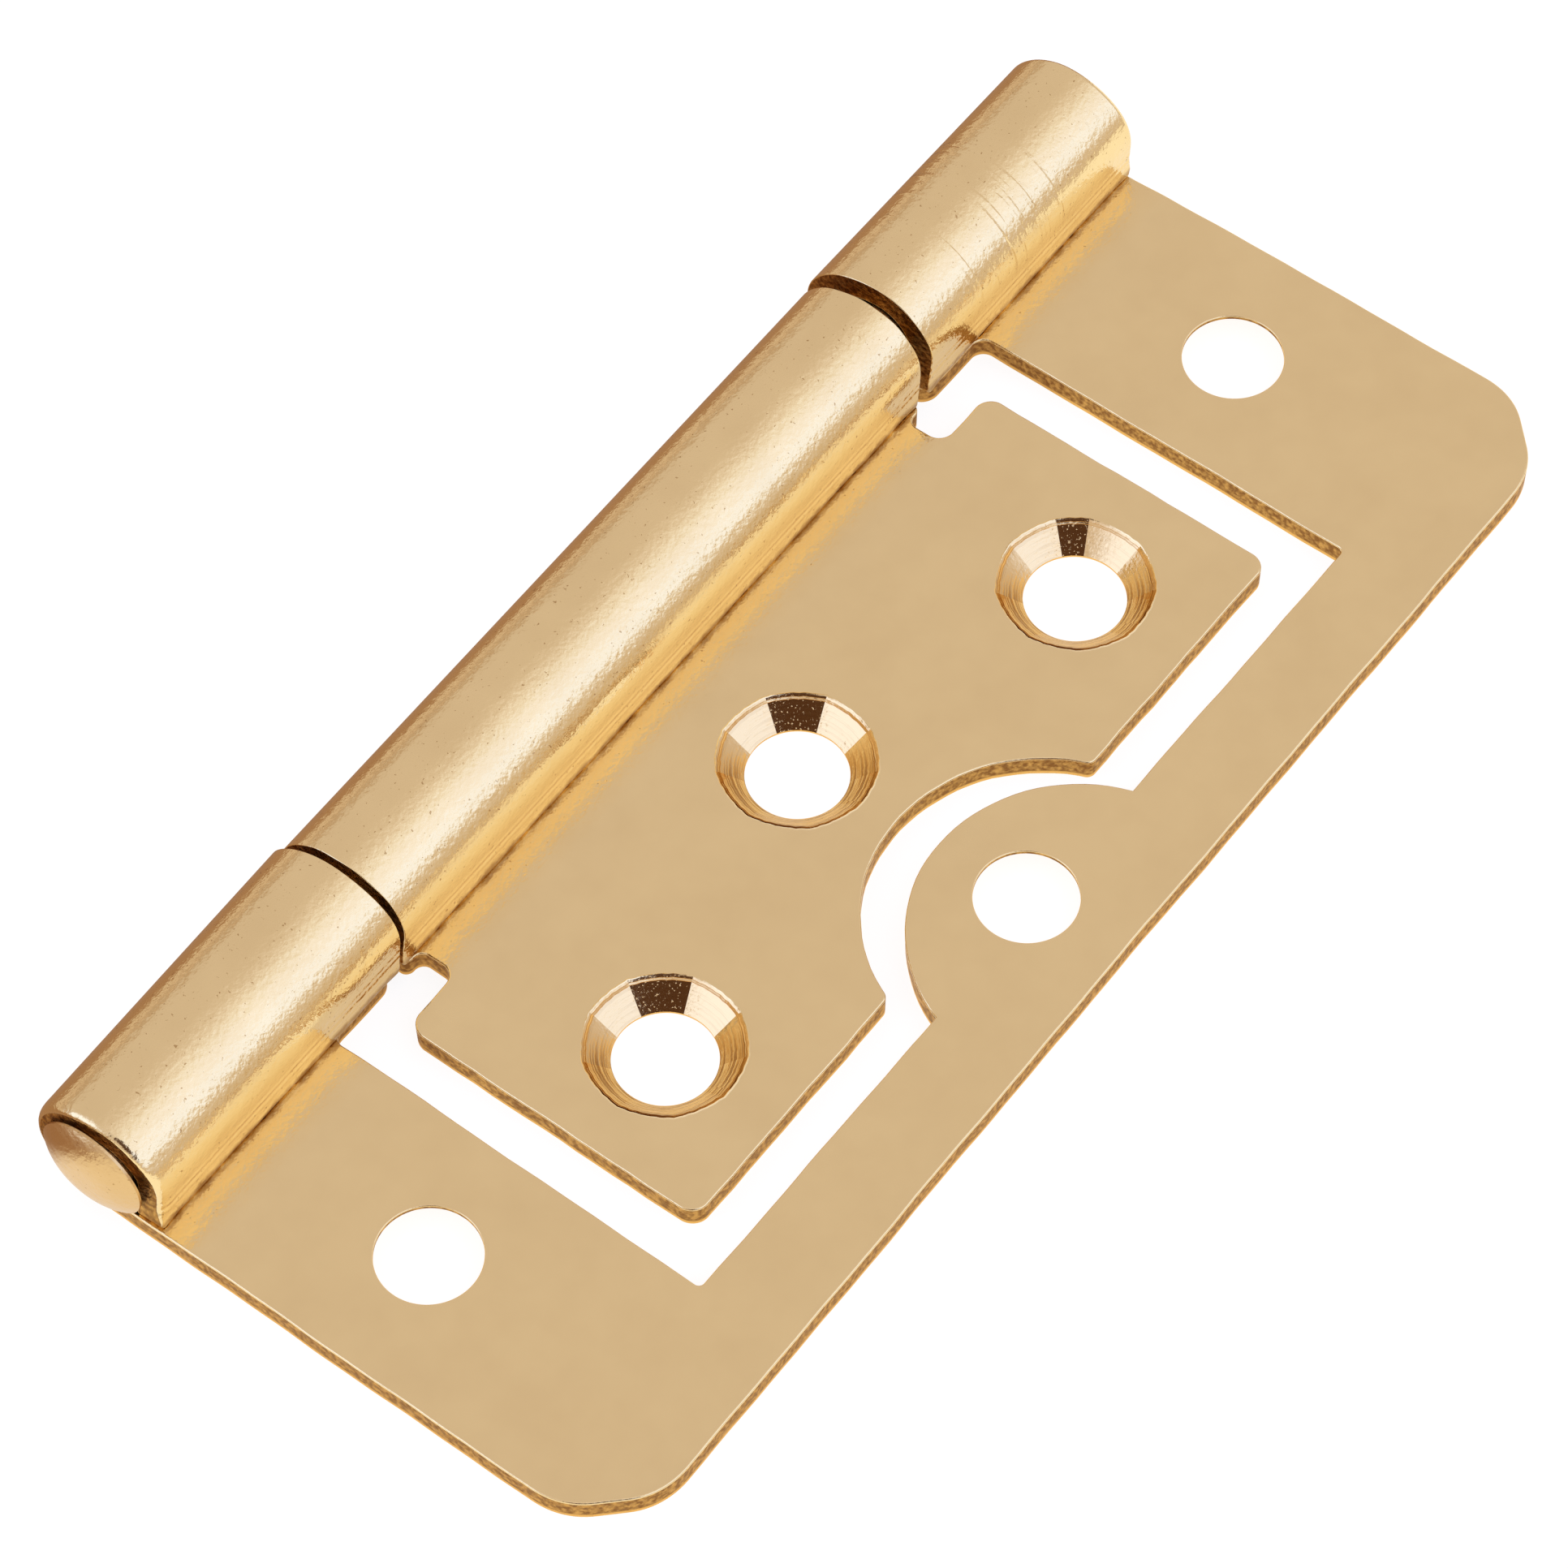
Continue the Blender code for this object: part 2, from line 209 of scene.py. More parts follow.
class FlushHingeInnerLeaf(bpy.types.PropertyGroup):
    """Sizes of the inner leaf's stamped outline."""

    half_length: length("Half length", "Half of the leaf's length along the pin", 22.4 * MM)
    reach: length("Reach", "From the pin axis to the leaf's free edge", INNER_HIGH[0] - PIN_AXIS[0])
    knuckle_half: length("Knuckle half length", "Half of the middle knuckle's length", 19.9 * MM)
    notch_depth: length("Notch depth", "From the pin axis to the deepest point of the notch", 17.3 * MM)
    notch_radius: length("Notch radius", "Radius of the notch that clears the lobe", 8.6 * MM)
    notch_lip: length("Notch lip", "Radius where the notch meets the free edge", 0.5 * MM)
    corner: length("Corner", "Radius of the leaf's corners", 0.9 * MM)
    tongue_lip: length("Tongue lip", "How far the sheet shows beyond the foot beside the relief", 0.4 * MM)
    tongue_corner: length("Tongue corner", "Radius of the sheet's corner under the knuckle", 0.5 * MM)
    relief_width: length("Relief width", "Width of the relief beside the middle knuckle", 2.1 * MM)
    relief_depth: length("Relief depth", "How far the relief runs in from the knuckle's end", 1.1 * MM)
    relief_corner: length("Relief corner", "Radius of the relief's inner corner", 0.8 * MM)
    slant: length("Slant", "How far the near end of the foot reaches past the knuckle", 0.2 * MM)


class FlushHingeHoles(bpy.types.PropertyGroup):
    """Sizes and places of the screw holes."""

    diameter: length("Hole", "Diameter of a screw hole", 5.0 * MM)
    sink_diameter: length("Countersink", "Diameter of a countersink", 7.7 * MM)
    land: length("Land", "Straight part of the hole below the countersink", 0.15 * MM)
    arm_inset: length("Arm hole inset", "From the leaf's end to the arm's hole", 6.25 * MM)
    arm_setback: length("Arm hole setback", "From the free edge to the arm's hole", 15.55 * MM)
    lobe_inset: length("Lobe hole inset", "From the free edge to the lobe's hole", 5.3 * MM)
    inner_inset: length("Inner hole inset", "From the inner leaf's ends to its end holes", 6.4 * MM)
    inner_setback: length("Inner hole setback", "From the inner leaf's free edge to end holes", 6.63 * MM)
    middle_setback: length("Middle hole setback", "From the notch to the middle hole", 5.75 * MM)
    inner_drift: length("Inner hole drift", "How far the inner leaf's holes sit off their place", -0.13 * MM)
    facet_depth: share("Facet depth", "How flat the cutter left the facets of a countersink", 0.6)


class FlushHingePin(bpy.types.PropertyGroup):
    """Sizes of the pin."""

    diameter: length("Pin", "Diameter of the pin's shank", 4.0 * MM)
    head_diameter: length("Head", "Diameter of the domed head", PIN_HIGH[2] - PIN_LOW[2])
    head_height: length("Dome height", "Height of the head's dome", 0.72 * MM)
    head_rim: length("Head rim", "Straight rim below the dome", 0.13 * MM)
    tail_crown: length("Tail crown", "Height of the low crown at the plain end", 0.25 * MM)


class FlushHingeFinish(bpy.types.PropertyGroup):
    """Colours and polish of the brass plate."""

    plate: colour("Plate", "Polished brass plate on the rolled sheet", (0.96, 0.74, 0.36))
    wall: colour("Sheared edge", "Duller plate on the sheared edges", (0.9, 0.52, 0.14))
    tear: colour("Tears", "Thin plate over the tears in sheared and cut edges", (0.27, 0.115, 0.03))
    # Besides the pits and mottling, this colour is painted shade in the seam where the foot meets the leaf.
    dirt: colour("Dirt", "Grime in the seam and the pits", (0.42, 0.22, 0.06))
    sink: colour("Countersink", "Plate over the turned countersinks", (0.96, 0.70, 0.33))
    # Partly painted shade: the darker plate on the countersinks' near side.
    cut: colour("Cut", "Plate over the torn side of the countersinks", (0.64, 0.38, 0.115))
    # Painted shade: the pin's plate is darker than the leaves' so that its head reflects the floor less
    # brightly.
    pin: colour("Pin", "Duller plate on the pin", (0.80, 0.54, 0.23))
    roughness: share("Roughness", "Roughness of the polished plate", 0.17)
    pin_roughness: share("Pin roughness", "Roughness of the plate on the pin", 0.3)
    wall_roughness: share("Edge roughness", "Roughness of the sheared edges", 0.35)
    sink_roughness: share("Countersink roughness", "Roughness of the countersinks", 0.12)


class FlushHingeStudio(bpy.types.PropertyGroup):
    """Camera, light and floor."""

    camera_place: spot("Camera", "Where the camera stands", (111.467, -129.774, 245.519))
    camera_aim: spot("Aim", "Point on the floor that the camera looks at", (11.236, -1.118, -3.5))
    camera_roll: swing("Roll", "Turn of the camera about its line of sight", math.radians(-1.184))
    lens: bpy.props.FloatProperty(
        name="Lens", description="Focal length in millimetres on a 36 mm sensor", default=145.37
    )
    room: colour("Room", "Even light of the room beyond the ring's two ends", (0.695, 0.633, 0.69))
    fill: colour("Fill light", "Soft light at the left and in front", (1.15, 1.34, 2.2))
    shade: colour("Shade", "Unlit part of the room in front", (0.085, 0.04, 0.022))
    floor: colour("Floor", "The floor to light that has met something matt", (0.56, 0.43, 0.27))
    side_card: colour("Side card", "Grey card on the floor at the right, for the metal", (0.66, 0.56, 0.52))
    # Painted shade: the floor as the metal sees it beside the barrel and under the leaves.
    card: colour("Card", "Brown card on the floor at the left, for the metal", (0.40, 0.241, 0.153))
    shadow: share("Shadow", "How much of the floor's white comes from the light on it", 0.25)


def set_of(context, name):
    """The property group of the hinge that has this name."""
    return getattr(context.scene, "flush_hinge_" + name)


class Shell:
    """One closed piece, gathered patch by patch as whole arrays of points and faces.

    Every corner of every face has its own normal, worked out from the shape, and its own place in a map.
    """

    def __init__(self):
        self.points, self.count, self.faces = [], 0, []

    def add_points(self, points):
        """Add points, and return the number of the first of them."""
        first = self.count
        self.points.append(np.asarray(points, float).reshape(-1, 3))
        self.count += len(self.points[-1])
        return first

    def add_faces(self, corners, normals, places, finish):
        """Faces of equal corner count: point numbers, normals and map places for each of their corners."""
        count, sides = corners.shape
        normals = np.broadcast_to(normals, (count, sides, 3)).reshape(-1, 3)
        places = np.broadcast_to(places, (count, sides, 2)).reshape(-1, 2)
        self.faces.append((corners.ravel(), normals, places, np.full(count, sides), np.full(count, finish)))

    def to_object(self, name, materials):
        """Weld the patches into one mesh object at the origin, with its place in the mesh."""
        points = np.concatenate(self.points) + PIN_AXIS
        corners, normals, places, sizes, finishes = (np.concatenate(each) for each in zip(*self.faces))
        mesh = bpy.data.meshes.new(name)
        mesh.vertices.add(len(points))
        mesh.vertices.foreach_set("co", points.ravel())
        mesh.loops.add(len(corners))
        mesh.loops.foreach_set("vertex_index", corners.astype(np.int32))
        mesh.polygons.add(len(sizes))
        mesh.polygons.foreach_set("loop_start", (np.cumsum(sizes) - sizes).astype(np.int32))
        mesh.update(calc_edges=True)
        mesh.polygons.foreach_set("material_index", finishes.astype(np.int32))
        mesh.polygons.foreach_set("use_smooth", np.ones(len(sizes), bool))
        mesh.uv_layers.new(name="blank").data.foreach_set("uv", places.ravel())
        normals = normals / np.linalg.norm(normals, axis=1, keepdims=True)
        mesh.normals_split_custom_set(normals.tolist())
        if mesh.validate(verbose=True):
            raise RuntimeError(f"{name} has faces that Blender had to repair")
        for material in materials:
            mesh.materials.append(material)
        piece = bpy.data.objects.new(name, mesh)
        bpy.context.scene.collection.objects.link(piece)
        return piece


def smooth(part):
    """Zero to one with level ends: three times the square less twice the cube."""
    part = np.clip(part, 0.0, 1.0)
    return part * part * (3 - 2 * part)


class RolledSection:
    """The section that both leaves share, and the bending of blank points into it."""

    def __init__(self, sheet, knuckles):
        self.askew, self.creep, self.tight = sheet.askew, sheet.creep, sheet.out_of_round
        self.knuckles = knuckles
        self.thickness = sheet.thickness
        self.outside = sheet.barrel_radius
        self.bore = sheet.barrel_radius - sheet.thickness
        self.middle = self.bore + sheet.thickness / 2
        self.curl = 1.5 * math.pi * self.middle
        self.swell, self.swell_height, self.dent = sheet.foot_swell, sheet.foot_height, sheet.dent
        self.foot = self.bore - sheet.seam_gap + sheet.dent
        self.end = -(self.curl + self.foot)

    def stand_out(self, angle, drop):
        """How far the outside of the curl and foot stands out beyond the barrel's radius.

        Between the level side and the top it changes as the integral of a squared sine, and it fades to
        nothing round the other side. On the foot come fine ridges, two sines of the drop, and the swell
        above the seam, a squared sine of the height that is left.
        """
        turn = np.clip(angle / TIGHTENS_BY, 0.0, 1.0)
        rise = 1 - turn + np.sin(2 * math.pi * turn) / (2 * math.pi)
        fade = smooth((angle - TIGHTENS_BY) / EASES_OVER)
        part = np.clip((drop - self.foot + self.swell_height) / self.swell_height, 0.0, 1.0)
        ridges = np.sin(drop / LONG_RIDGE - 0.8) + 0.6 * np.sin(drop / SHORT_RIDGE)
        ridges = ridges * smooth(drop / RIDGES_FROM) * RIDGE
        return self.tight * (rise - 0.5 + 0.5 * fade) + np.sin(math.pi / 2 * part) ** 2 * self.swell + ridges

    def sink_in(self, flat):
        """How deep the leaf's face sinks beside the seam, and smoothly less on either side of that."""
        return self.dent * smooth(flat / DENT_FULL) * (1 - smooth(flat / DENT_EASES - 1.2))

    def bend(self, run, y, depth):
        """Blank points to points in space, with the directions of growing run, of Y and of growing depth.

        From zero up the run is X on the flat leaf. Below zero it goes up around the pin on the sheet's
        middle radius, from three quarters of a turn down to none, and then straight down the foot. Depth
        runs away from the bore, so a point of the curl is at the bore's radius plus its depth, and what the
        outside stands out is shared out evenly over the depth.

        Then come the errors of the press. The curl stands off the axis by a little that changes along each
        knuckle, it creeps along the pin as it turns and springs back on the foot, the flat leaf is turned
        askew of the barrel, and its face sinks beside the seam. Each of them fades in smoothly.
        """
        run, y, depth = np.broadcast_arrays(run, y, depth)
        angle = 1.5 * math.pi + np.clip(run, -self.curl, 0.0) / self.middle
        cos, sin = np.cos(angle), np.sin(angle)
        flat = np.maximum(run, 0.0)
        drop = np.maximum(-self.curl - run, 0.0)
        depth_share, tiny = depth / self.thickness, 0.001 * MM
        radius = self.bore + depth + depth_share * self.stand_out(angle, drop)
        nudge = tiny / self.middle
        tilt = self.stand_out(angle + nudge, drop) - self.stand_out(angle - nudge, drop)
        tilt = tilt * depth_share / (2 * tiny) * self.middle / radius
        slope = self.stand_out(angle, drop + tiny) - self.stand_out(angle, drop - tiny)
        slope = np.where(drop > 0, slope * depth_share / (2 * tiny), 0.0)
        tilt = np.where(drop > 0, 0.0, tilt)
        flat_share = smooth(flat / SETTLES_BY)
        x = radius * cos + flat + (self.askew * y + FLAT_SHIFT) * flat_share
        on_left = (1 - cos) / 2 * (1 - flat_share)
        x = x + np.interp(y, *self.knuckles) * on_left + FOOT_SHIFT * (1 - flat_share - on_left)
        on_face = 1 - depth_share
        z = radius * sin - drop - on_face * self.sink_in(flat)
        dip = on_face * (self.sink_in(flat + tiny) - self.sink_in(np.maximum(flat - tiny, 0.0))) / (2 * tiny)
        lean = (np.interp(y + MM, *self.knuckles) - np.interp(y - MM, *self.knuckles)) / (2 * MM) * on_left
        creep = self.creep * smooth(1 - angle / CREEPS_BY) * (1 - SPRINGS_BACK * smooth(drop / self.foot))
        y = y - self.askew * flat * flat_share + creep
        zero = np.zeros_like(x)
        along = np.stack([-sin, zero, cos], -1)
        out = np.stack([cos + tilt * sin - dip, -lean * cos, sin - tilt * cos + slope], -1)
        out = out / np.linalg.norm(out, axis=-1, keepdims=True)
        across = np.broadcast_to([0.0, 1.0, 0.0], out.shape)
        return np.stack([x, y, z], -1), along, across, out


def arc(centre, radius, start, end):
    """Points of an arc from one angle to another: the centre plus the radius times cosine and sine."""
    steps = max(2, math.ceil(abs(end - start) / ARC_STEP))
    angles = np.linspace(start, end, steps + 1)
    return np.stack([centre[0] + radius * np.cos(angles), centre[1] + radius * np.sin(angles)], 1)


def fillet(before, corner, after, radius):
    """The arc that rounds a corner, its centre on the bisector at the radius over the half angle's sine."""
    u = (before - corner) / np.linalg.norm(before - corner)
    v = (after - corner) / np.linalg.norm(after - corner)
    half_angle = math.acos(float(np.clip(u @ v, -1, 1))) / 2
    centre = corner + (u + v) / np.linalg.norm(u + v) * radius / math.sin(half_angle)
    tangent = radius / math.tan(half_angle)
    first, last = corner + u * tangent - centre, corner + v * tangent - centre
    start, end = math.atan2(first[1], first[0]), math.atan2(last[1], last[0])
    turn = (end - start + math.pi) % (2 * math.pi) - math.pi
    return arc(centre, radius, start, start + turn)


def rounded(corners):
    """A closed outline from (run, y, radius) corners, each rounded where its radius isn't zero."""
    corners = np.array(corners, float)
    before, after = np.roll(corners, 1, 0), np.roll(corners, -1, 0)
    return np.concatenate(
        [
            fillet(b[:2], c[:2], a[:2], c[2]) if c[2] > 0 else c[None, :2]
            for b, c, a in zip(before, corners, after)
        ]
    )


def subdivided(outline, section):
    """The same closed outline with points added evenly along each side, closer together on the curl."""
    ahead = np.roll(outline, -1, 0)
    side = ahead - outline
    on_curl = np.minimum(outline[:, 0], ahead[:, 0]) < 0
    curl_step = section.curl / CURL_STEPS
    pieces = np.maximum(
        np.ceil(np.abs(side[:, 1]) / FLAT_STEP - 1e-6),
        np.ceil(np.abs(side[:, 0]) / np.where(on_curl, curl_step, FLAT_STEP) - 1e-6),
    ).astype(int)
    pieces = np.maximum(pieces, 1)
    first = np.repeat(np.cumsum(pieces) - pieces, pieces)
    part = (np.arange(pieces.sum()) - first) / np.repeat(pieces, pieces)
    return np.repeat(outline, pieces, 0) + np.repeat(side, pieces, 0) * part[:, None]


def inward(loop):
    """Directions into the metal, on the left of a loop, at each of its points: mitred and plain."""
    side = np.roll(loop, -1, 0) - loop
    side = side / np.linalg.norm(side, axis=1, keepdims=True)
    left = np.stack([-side[:, 1], side[:, 0]], 1)
    both = left + np.roll(left, 1, 0)
    plain = both / np.linalg.norm(both, axis=1, keepdims=True)
    mitred = plain / np.maximum((plain * left).sum(1), 0.5)[:, None]
    return mitred, plain


def wander(loop, size):
    """A gentle wave along a loop: three sines of the distance travelled, whose lengths don't agree."""
    step = np.linalg.norm(loop - np.roll(loop, 1, 0), axis=1)
    travel = np.cumsum(step)
    turns = travel / travel[-1]
    sines = ((23, 0.1, 1.0), (41, 0.55, 1.0), (97, 0.8, 0.7))
    wave = sum(weight * np.sin(2 * math.pi * (turns * count + phase)) for count, phase, weight in sines)
    return size * wave / 1.6


class EdgeProfile:
    """The section of an edge or hole wall, from the face to the back.

    It is a run of (inset, depth) points from the face down. Each stretch between two of them has the
    direction that the surface faces at its start and its end, as (away from the metal, along the depth).
    """

    def __init__(self, inset):
        self.points, self.facing, self.finish = [(inset, 0.0)], [], []

    def add(self, inset, depth, start, end, finish):
        """The next point, with what the stretch up to it faces and its finish."""
        self.points.append((inset, depth))
        self.facing.append((start, end))
        self.finish.append(finish)

    def line(self, inset, depth, finish):
        """A straight stretch, which faces square to itself."""
        last_inset, last_depth = self.points[-1]
        step = np.stack(np.broadcast_arrays(inset - last_inset, depth - last_depth), -1)
        step = step / np.linalg.norm(step, axis=-1, keepdims=True)
        facing = step[..., ::-1]
        self.add(inset, depth, facing, facing, finish)

    def bow(self, radius, start, end, finish, stretch=1.0, steps=EDGE_STEPS):
        """A rounded stretch, which faces from one angle to another; a quarter turn is facing straight down.

        A point of the rounding that faces at an angle is the radius times (minus cosine, sine) from its
        centre, with its inset stretched.
        """
        inset, depth = self.points[-1]
        centre_inset = inset + stretch * radius * math.cos(start)
        centre_depth = depth - radius * math.sin(start)
        angles = np.linspace(start, end, steps + 1)

        def faces(angle):
            level, down = math.cos(angle) / stretch, math.sin(angle)
            return np.stack(np.broadcast_arrays(level, down), -1) / np.hypot(level, down)[..., None]

        for a, b in zip(angles, angles[1:]):
            inset = centre_inset - stretch * radius * math.cos(b)
            self.add(inset, centre_depth + radius * math.sin(b), faces(a), faces(b), finish)

    def arrays(self, count):
        """Insets, depths and facings for each point of a loop of this many points."""

        def spread(values, *more):
            return np.stack([np.broadcast_to(value, (count, *more)) for value in values], 1)

        (insets, depths), (starts, ends) = zip(*self.points), zip(*self.facing)
        return spread(insets), spread(depths), spread(starts, 2), spread(ends, 2)


def sheared_edge(section, face_round, back_round, stretch):
    """The profile of a stamped edge: a wall that leans in a little between two rounded corners."""
    lean = 0.03 * MM
    profile = EdgeProfile(face_round)
    profile.bow(face_round, -QUARTER, 0.0, PLATE)
    profile.line(lean, section.thickness - back_round, WALL)
    profile.bow(back_round, 0.0, QUARTER, PLATE, stretch)
    return profile


def sweep_edge(shell, section, loop, profile, twist=None):
    """Carry an edge profile round a loop of the blank, and return the numbers and places of its two rims.

    A point of the band is the loop's point moved into the metal by the inset, at the profile's depth. Twist
    turns what the countersink faces, at the start and end of each side of the loop. The map counts
    millimetres round the loop and down the profile.
    """
    mitred, plain = inward(loop)
    count = len(loop)
    inset, depth, starts, ends = profile.arrays(count)
    run = loop[:, None, 0] + mitred[:, None, 0] * inset
    y = loop[:, None, 1] + mitred[:, None, 1] * inset
    points, along, across, out = section.bend(run, y, depth)
    number = shell.add_points(points) + np.arange(inset.size).reshape(inset.shape)
    step = np.linalg.norm(np.roll(loop, -1, 0) - loop, axis=1)
    travel = np.concatenate([[0.0], np.cumsum(step)]) / MM
    slant = np.hypot(np.diff(inset[0]), np.diff(depth[0]))
    height = np.concatenate([[0.0], np.cumsum(slant)]) / MM
    finish = np.array(profile.finish)
    twist = np.zeros((count, 2)) if twist is None else twist
    here, ahead = np.arange(count), np.roll(np.arange(count), -1)
    left, right = slice(0, -1), slice(1, None)
    corners, normals, places = [], [], []
    for rows, columns, facings, end in (
        (here, left, starts, 0), (here, right, ends, 0), (ahead, right, ends, 1), (ahead, left, starts, 1)
    ):
        turn = np.where(finish == SINK, twist[:, end, None], 0.0)[..., None]
        side = plain[rows, None, ::-1] * (-1.0, 1.0)
        level = plain[rows, None] * np.cos(turn) + side * np.sin(turn)
        flat = along[rows, columns] * level[..., :1] + across[rows, columns] * level[..., 1:]
        away, down = facings[rows][..., :1], facings[rows][..., 1:]
        corners.append(number[rows, columns])
        normals.append(out[rows, columns] * down - flat * away)
        places.append(np.stack(np.broadcast_arrays(travel[end : count + end, None], height[columns]), -1))
    corners, normals, places = (np.stack(each, 2) for each in (corners, normals, places))
    for kind in np.unique(finish):
        chosen = finish == kind
        shell.add_faces(
            corners[:, chosen].reshape(-1, 4),
            normals[:, chosen].reshape(-1, 4, 3),
            places[:, chosen].reshape(-1, 4, 2),
            kind,
        )
    return [(number[:, rim], np.stack([run[:, rim], y[:, rim]], 1)) for rim in (0, -1)]


def inside(points, loops):
    """Which points lie in the metal: a level line to the right of each crosses the loops an odd count."""
    odd = np.zeros(len(points), bool)
    for loop in loops:
        ahead = np.roll(loop, -1, 0)
        low, high = loop[:, 1], ahead[:, 1]
        spans = (low[None] > points[:, None, 1]) != (high[None] > points[:, None, 1])
        rise = np.where(high == low, 1.0, high - low)
        cross = loop[:, 0] + (points[:, None, 1] - low) * (ahead[:, 0] - loop[:, 0]) / rise
        odd ^= ((spans & (points[:, None, 0] < cross)).sum(1) % 2).astype(bool)
    return odd


def clear_of(points, loops, gap):
    """Which points keep this distance from the points of all loops."""
    rim = np.concatenate(loops)
    near = np.full(len(points), np.inf)
    for block in np.array_split(rim, max(1, len(rim) // 400)):
        near = np.minimum(near, ((points[:, None] - block[None]) ** 2).sum(2).min(1))
    return near > gap**2


def fill(shell, section, rims, face_side):
    """Cover the face or the back of the blank between its rims with triangles.

    Lattice points, in rows along the pin that are close together on the curl, are added between the rims,
    and a constrained Delaunay triangulation joins them all. Triangles outside the metal are dropped.
    """
    loops = [rim[1] for rim in rims]
    depth = 0.0 if face_side else section.thickness
    low, high = loops[0].min(0), loops[0].max(0)
    curl = -np.arange(CURL_STEPS + 1) * section.curl / CURL_STEPS
    foot = -section.curl - np.arange(1, FOOT_STEPS) * section.foot / FOOT_STEPS
    flat = np.arange(1, 40) * 3 * FLAT_STEP
    rows = np.concatenate([foot[::-1], curl[::-1], flat])
    columns = np.linspace(low[1], high[1], max(2, round((high[1] - low[1]) / FLAT_STEP)))
    lattice = np.stack(np.meshgrid(rows, columns, indexing="ij"), -1).reshape(-1, 2)
    lattice = lattice[inside(lattice, loops)]
    on_curl = lattice[:, 0] < 0.5 * FLAT_STEP
    tight, wide = (clear_of(lattice, loops, gap) for gap in (CURL_CLEARANCE, FLAT_CLEARANCE))
    lattice = lattice[np.where(on_curl, tight, wide)]
    flat_points = np.concatenate(loops + [lattice])
    edges, first = [], 0
    for loop in loops:
        here = first + np.arange(len(loop))
        edges.append(np.stack([here, np.roll(here, -1)], 1))
        first += len(loop)
    made = delaunay_2d_cdt(
        [Vector(p) for p in (flat_points * MESH_SCALE).tolist()],
        np.concatenate(edges).tolist(), [], 0, 1e-7, True,
    )
    if len(made[0]) != len(flat_points):
        raise RuntimeError("the rims of a leaf cross each other")
    triangles = np.array(made[2])
    source = np.array([o[0] for o in made[3]])
    triangles = source[triangles]
    middle = flat_points[triangles].mean(1)
    triangles = triangles[inside(middle, loops)]
    a, b, c = (flat_points[triangles[:, k]] for k in range(3))
    area = (b[:, 0] - a[:, 0]) * (c[:, 1] - a[:, 1]) - (b[:, 1] - a[:, 1]) * (c[:, 0] - a[:, 0])
    triangles[area < 0] = triangles[area < 0][:, ::-1]
    if not face_side:
        triangles = triangles[:, ::-1]
    points = section.bend(lattice[:, 0], lattice[:, 1], depth)[0]
    number = np.concatenate([rim[0] for rim in rims] + [shell.add_points(points) + np.arange(len(lattice))])
    out = section.bend(flat_points[:, 0], flat_points[:, 1], depth)[3]
    normals = -out if face_side else out
    shell.add_faces(number[triangles], normals[triangles], flat_points[triangles] / MM, PLATE)


def circle(place, radius):
    """A hole's loop, clockwise to keep the metal on its left: its place plus radius by cosine and sine."""
    turn = -np.arange(HOLE_SIDES) * 2 * math.pi / HOLE_SIDES
    return np.stack([place[0] + radius * np.cos(turn), place[1] + radius * np.sin(turn)], 1)


def bite(edge, centre_run, radius, side):
    """The arc that bulges towards the pin from a straight edge, from its end on one side to the other."""
    half_angle = math.acos((centre_run - edge) / radius)
    return arc((centre_run, 0.0), radius, math.pi - side * half_angle, math.pi + side * half_angle)


def leaf_shell(section, sheet, outline, holes, strip_sides, half_end):
    """Both faces, the stamped edge and the holes of a leaf.

    Each hole is its loop, its profile and its twist. The barrel's rims are rounder at the hinge's two ends,
    given by half_end, and at the bottom of the foot than the edge of the flat leaf is, but not near the
    foot's corners, which are where it meets the sides of the knuckles' strips.
    """
    shell = Shell()
    loop = subdivided(outline, section)
    curled = smooth(-loop[:, 0] / section.bore)
    at_end = np.abs(np.abs(loop[:, 1]) - half_end) < END_BAND
    at_foot = loop[:, 0] < section.end + TOUCH
    from_side = np.abs(loop[:, None, 1] - np.array(strip_sides)).min(1)
    clear = smooth(np.hypot(loop[:, 0] - section.end, from_side) / MM - CORNER_SHARE)
    barrel_round = np.where(at_end, sheet.end_round, np.where(at_foot, sheet.foot_round, sheet.gap_round))
    back_round = sheet.back_round + (barrel_round - sheet.back_round) * curled * clear
    stretch = 1 + HEAD_END_STRETCH * curled * at_end * (loop[:, 1] < 0) * clear
    shift = wander(loop, sheet.wobble)[:, None] * (1 + BARREL_WANDER * curled[:, None])
    loop = loop - inward(loop)[1] * shift
    rims = [sweep_edge(shell, section, loop, sheared_edge(section, sheet.face_round, back_round, stretch))]
    for hole_loop, profile, twist in holes:
        rims.append(sweep_edge(shell, section, hole_loop, profile, twist))
    fill(shell, section, [pair[0] for pair in rims], True)
    fill(shell, section, [pair[1] for pair in rims], False)
    return shell


def plain_hole(section, holes):
    """The outer leaf's hole: a small rounded edge and a land at the face, and a countersink below."""
    rise = (holes.sink_diameter - holes.diameter) / 2
    edge = 0.06 * MM
    profile = EdgeProfile(edge)
    profile.bow(edge, -QUARTER, 0.0, PLATE)
    profile.line(0.0, edge + holes.land, WALL)
    profile.line(rise, section.thickness, SINK)
    return profile


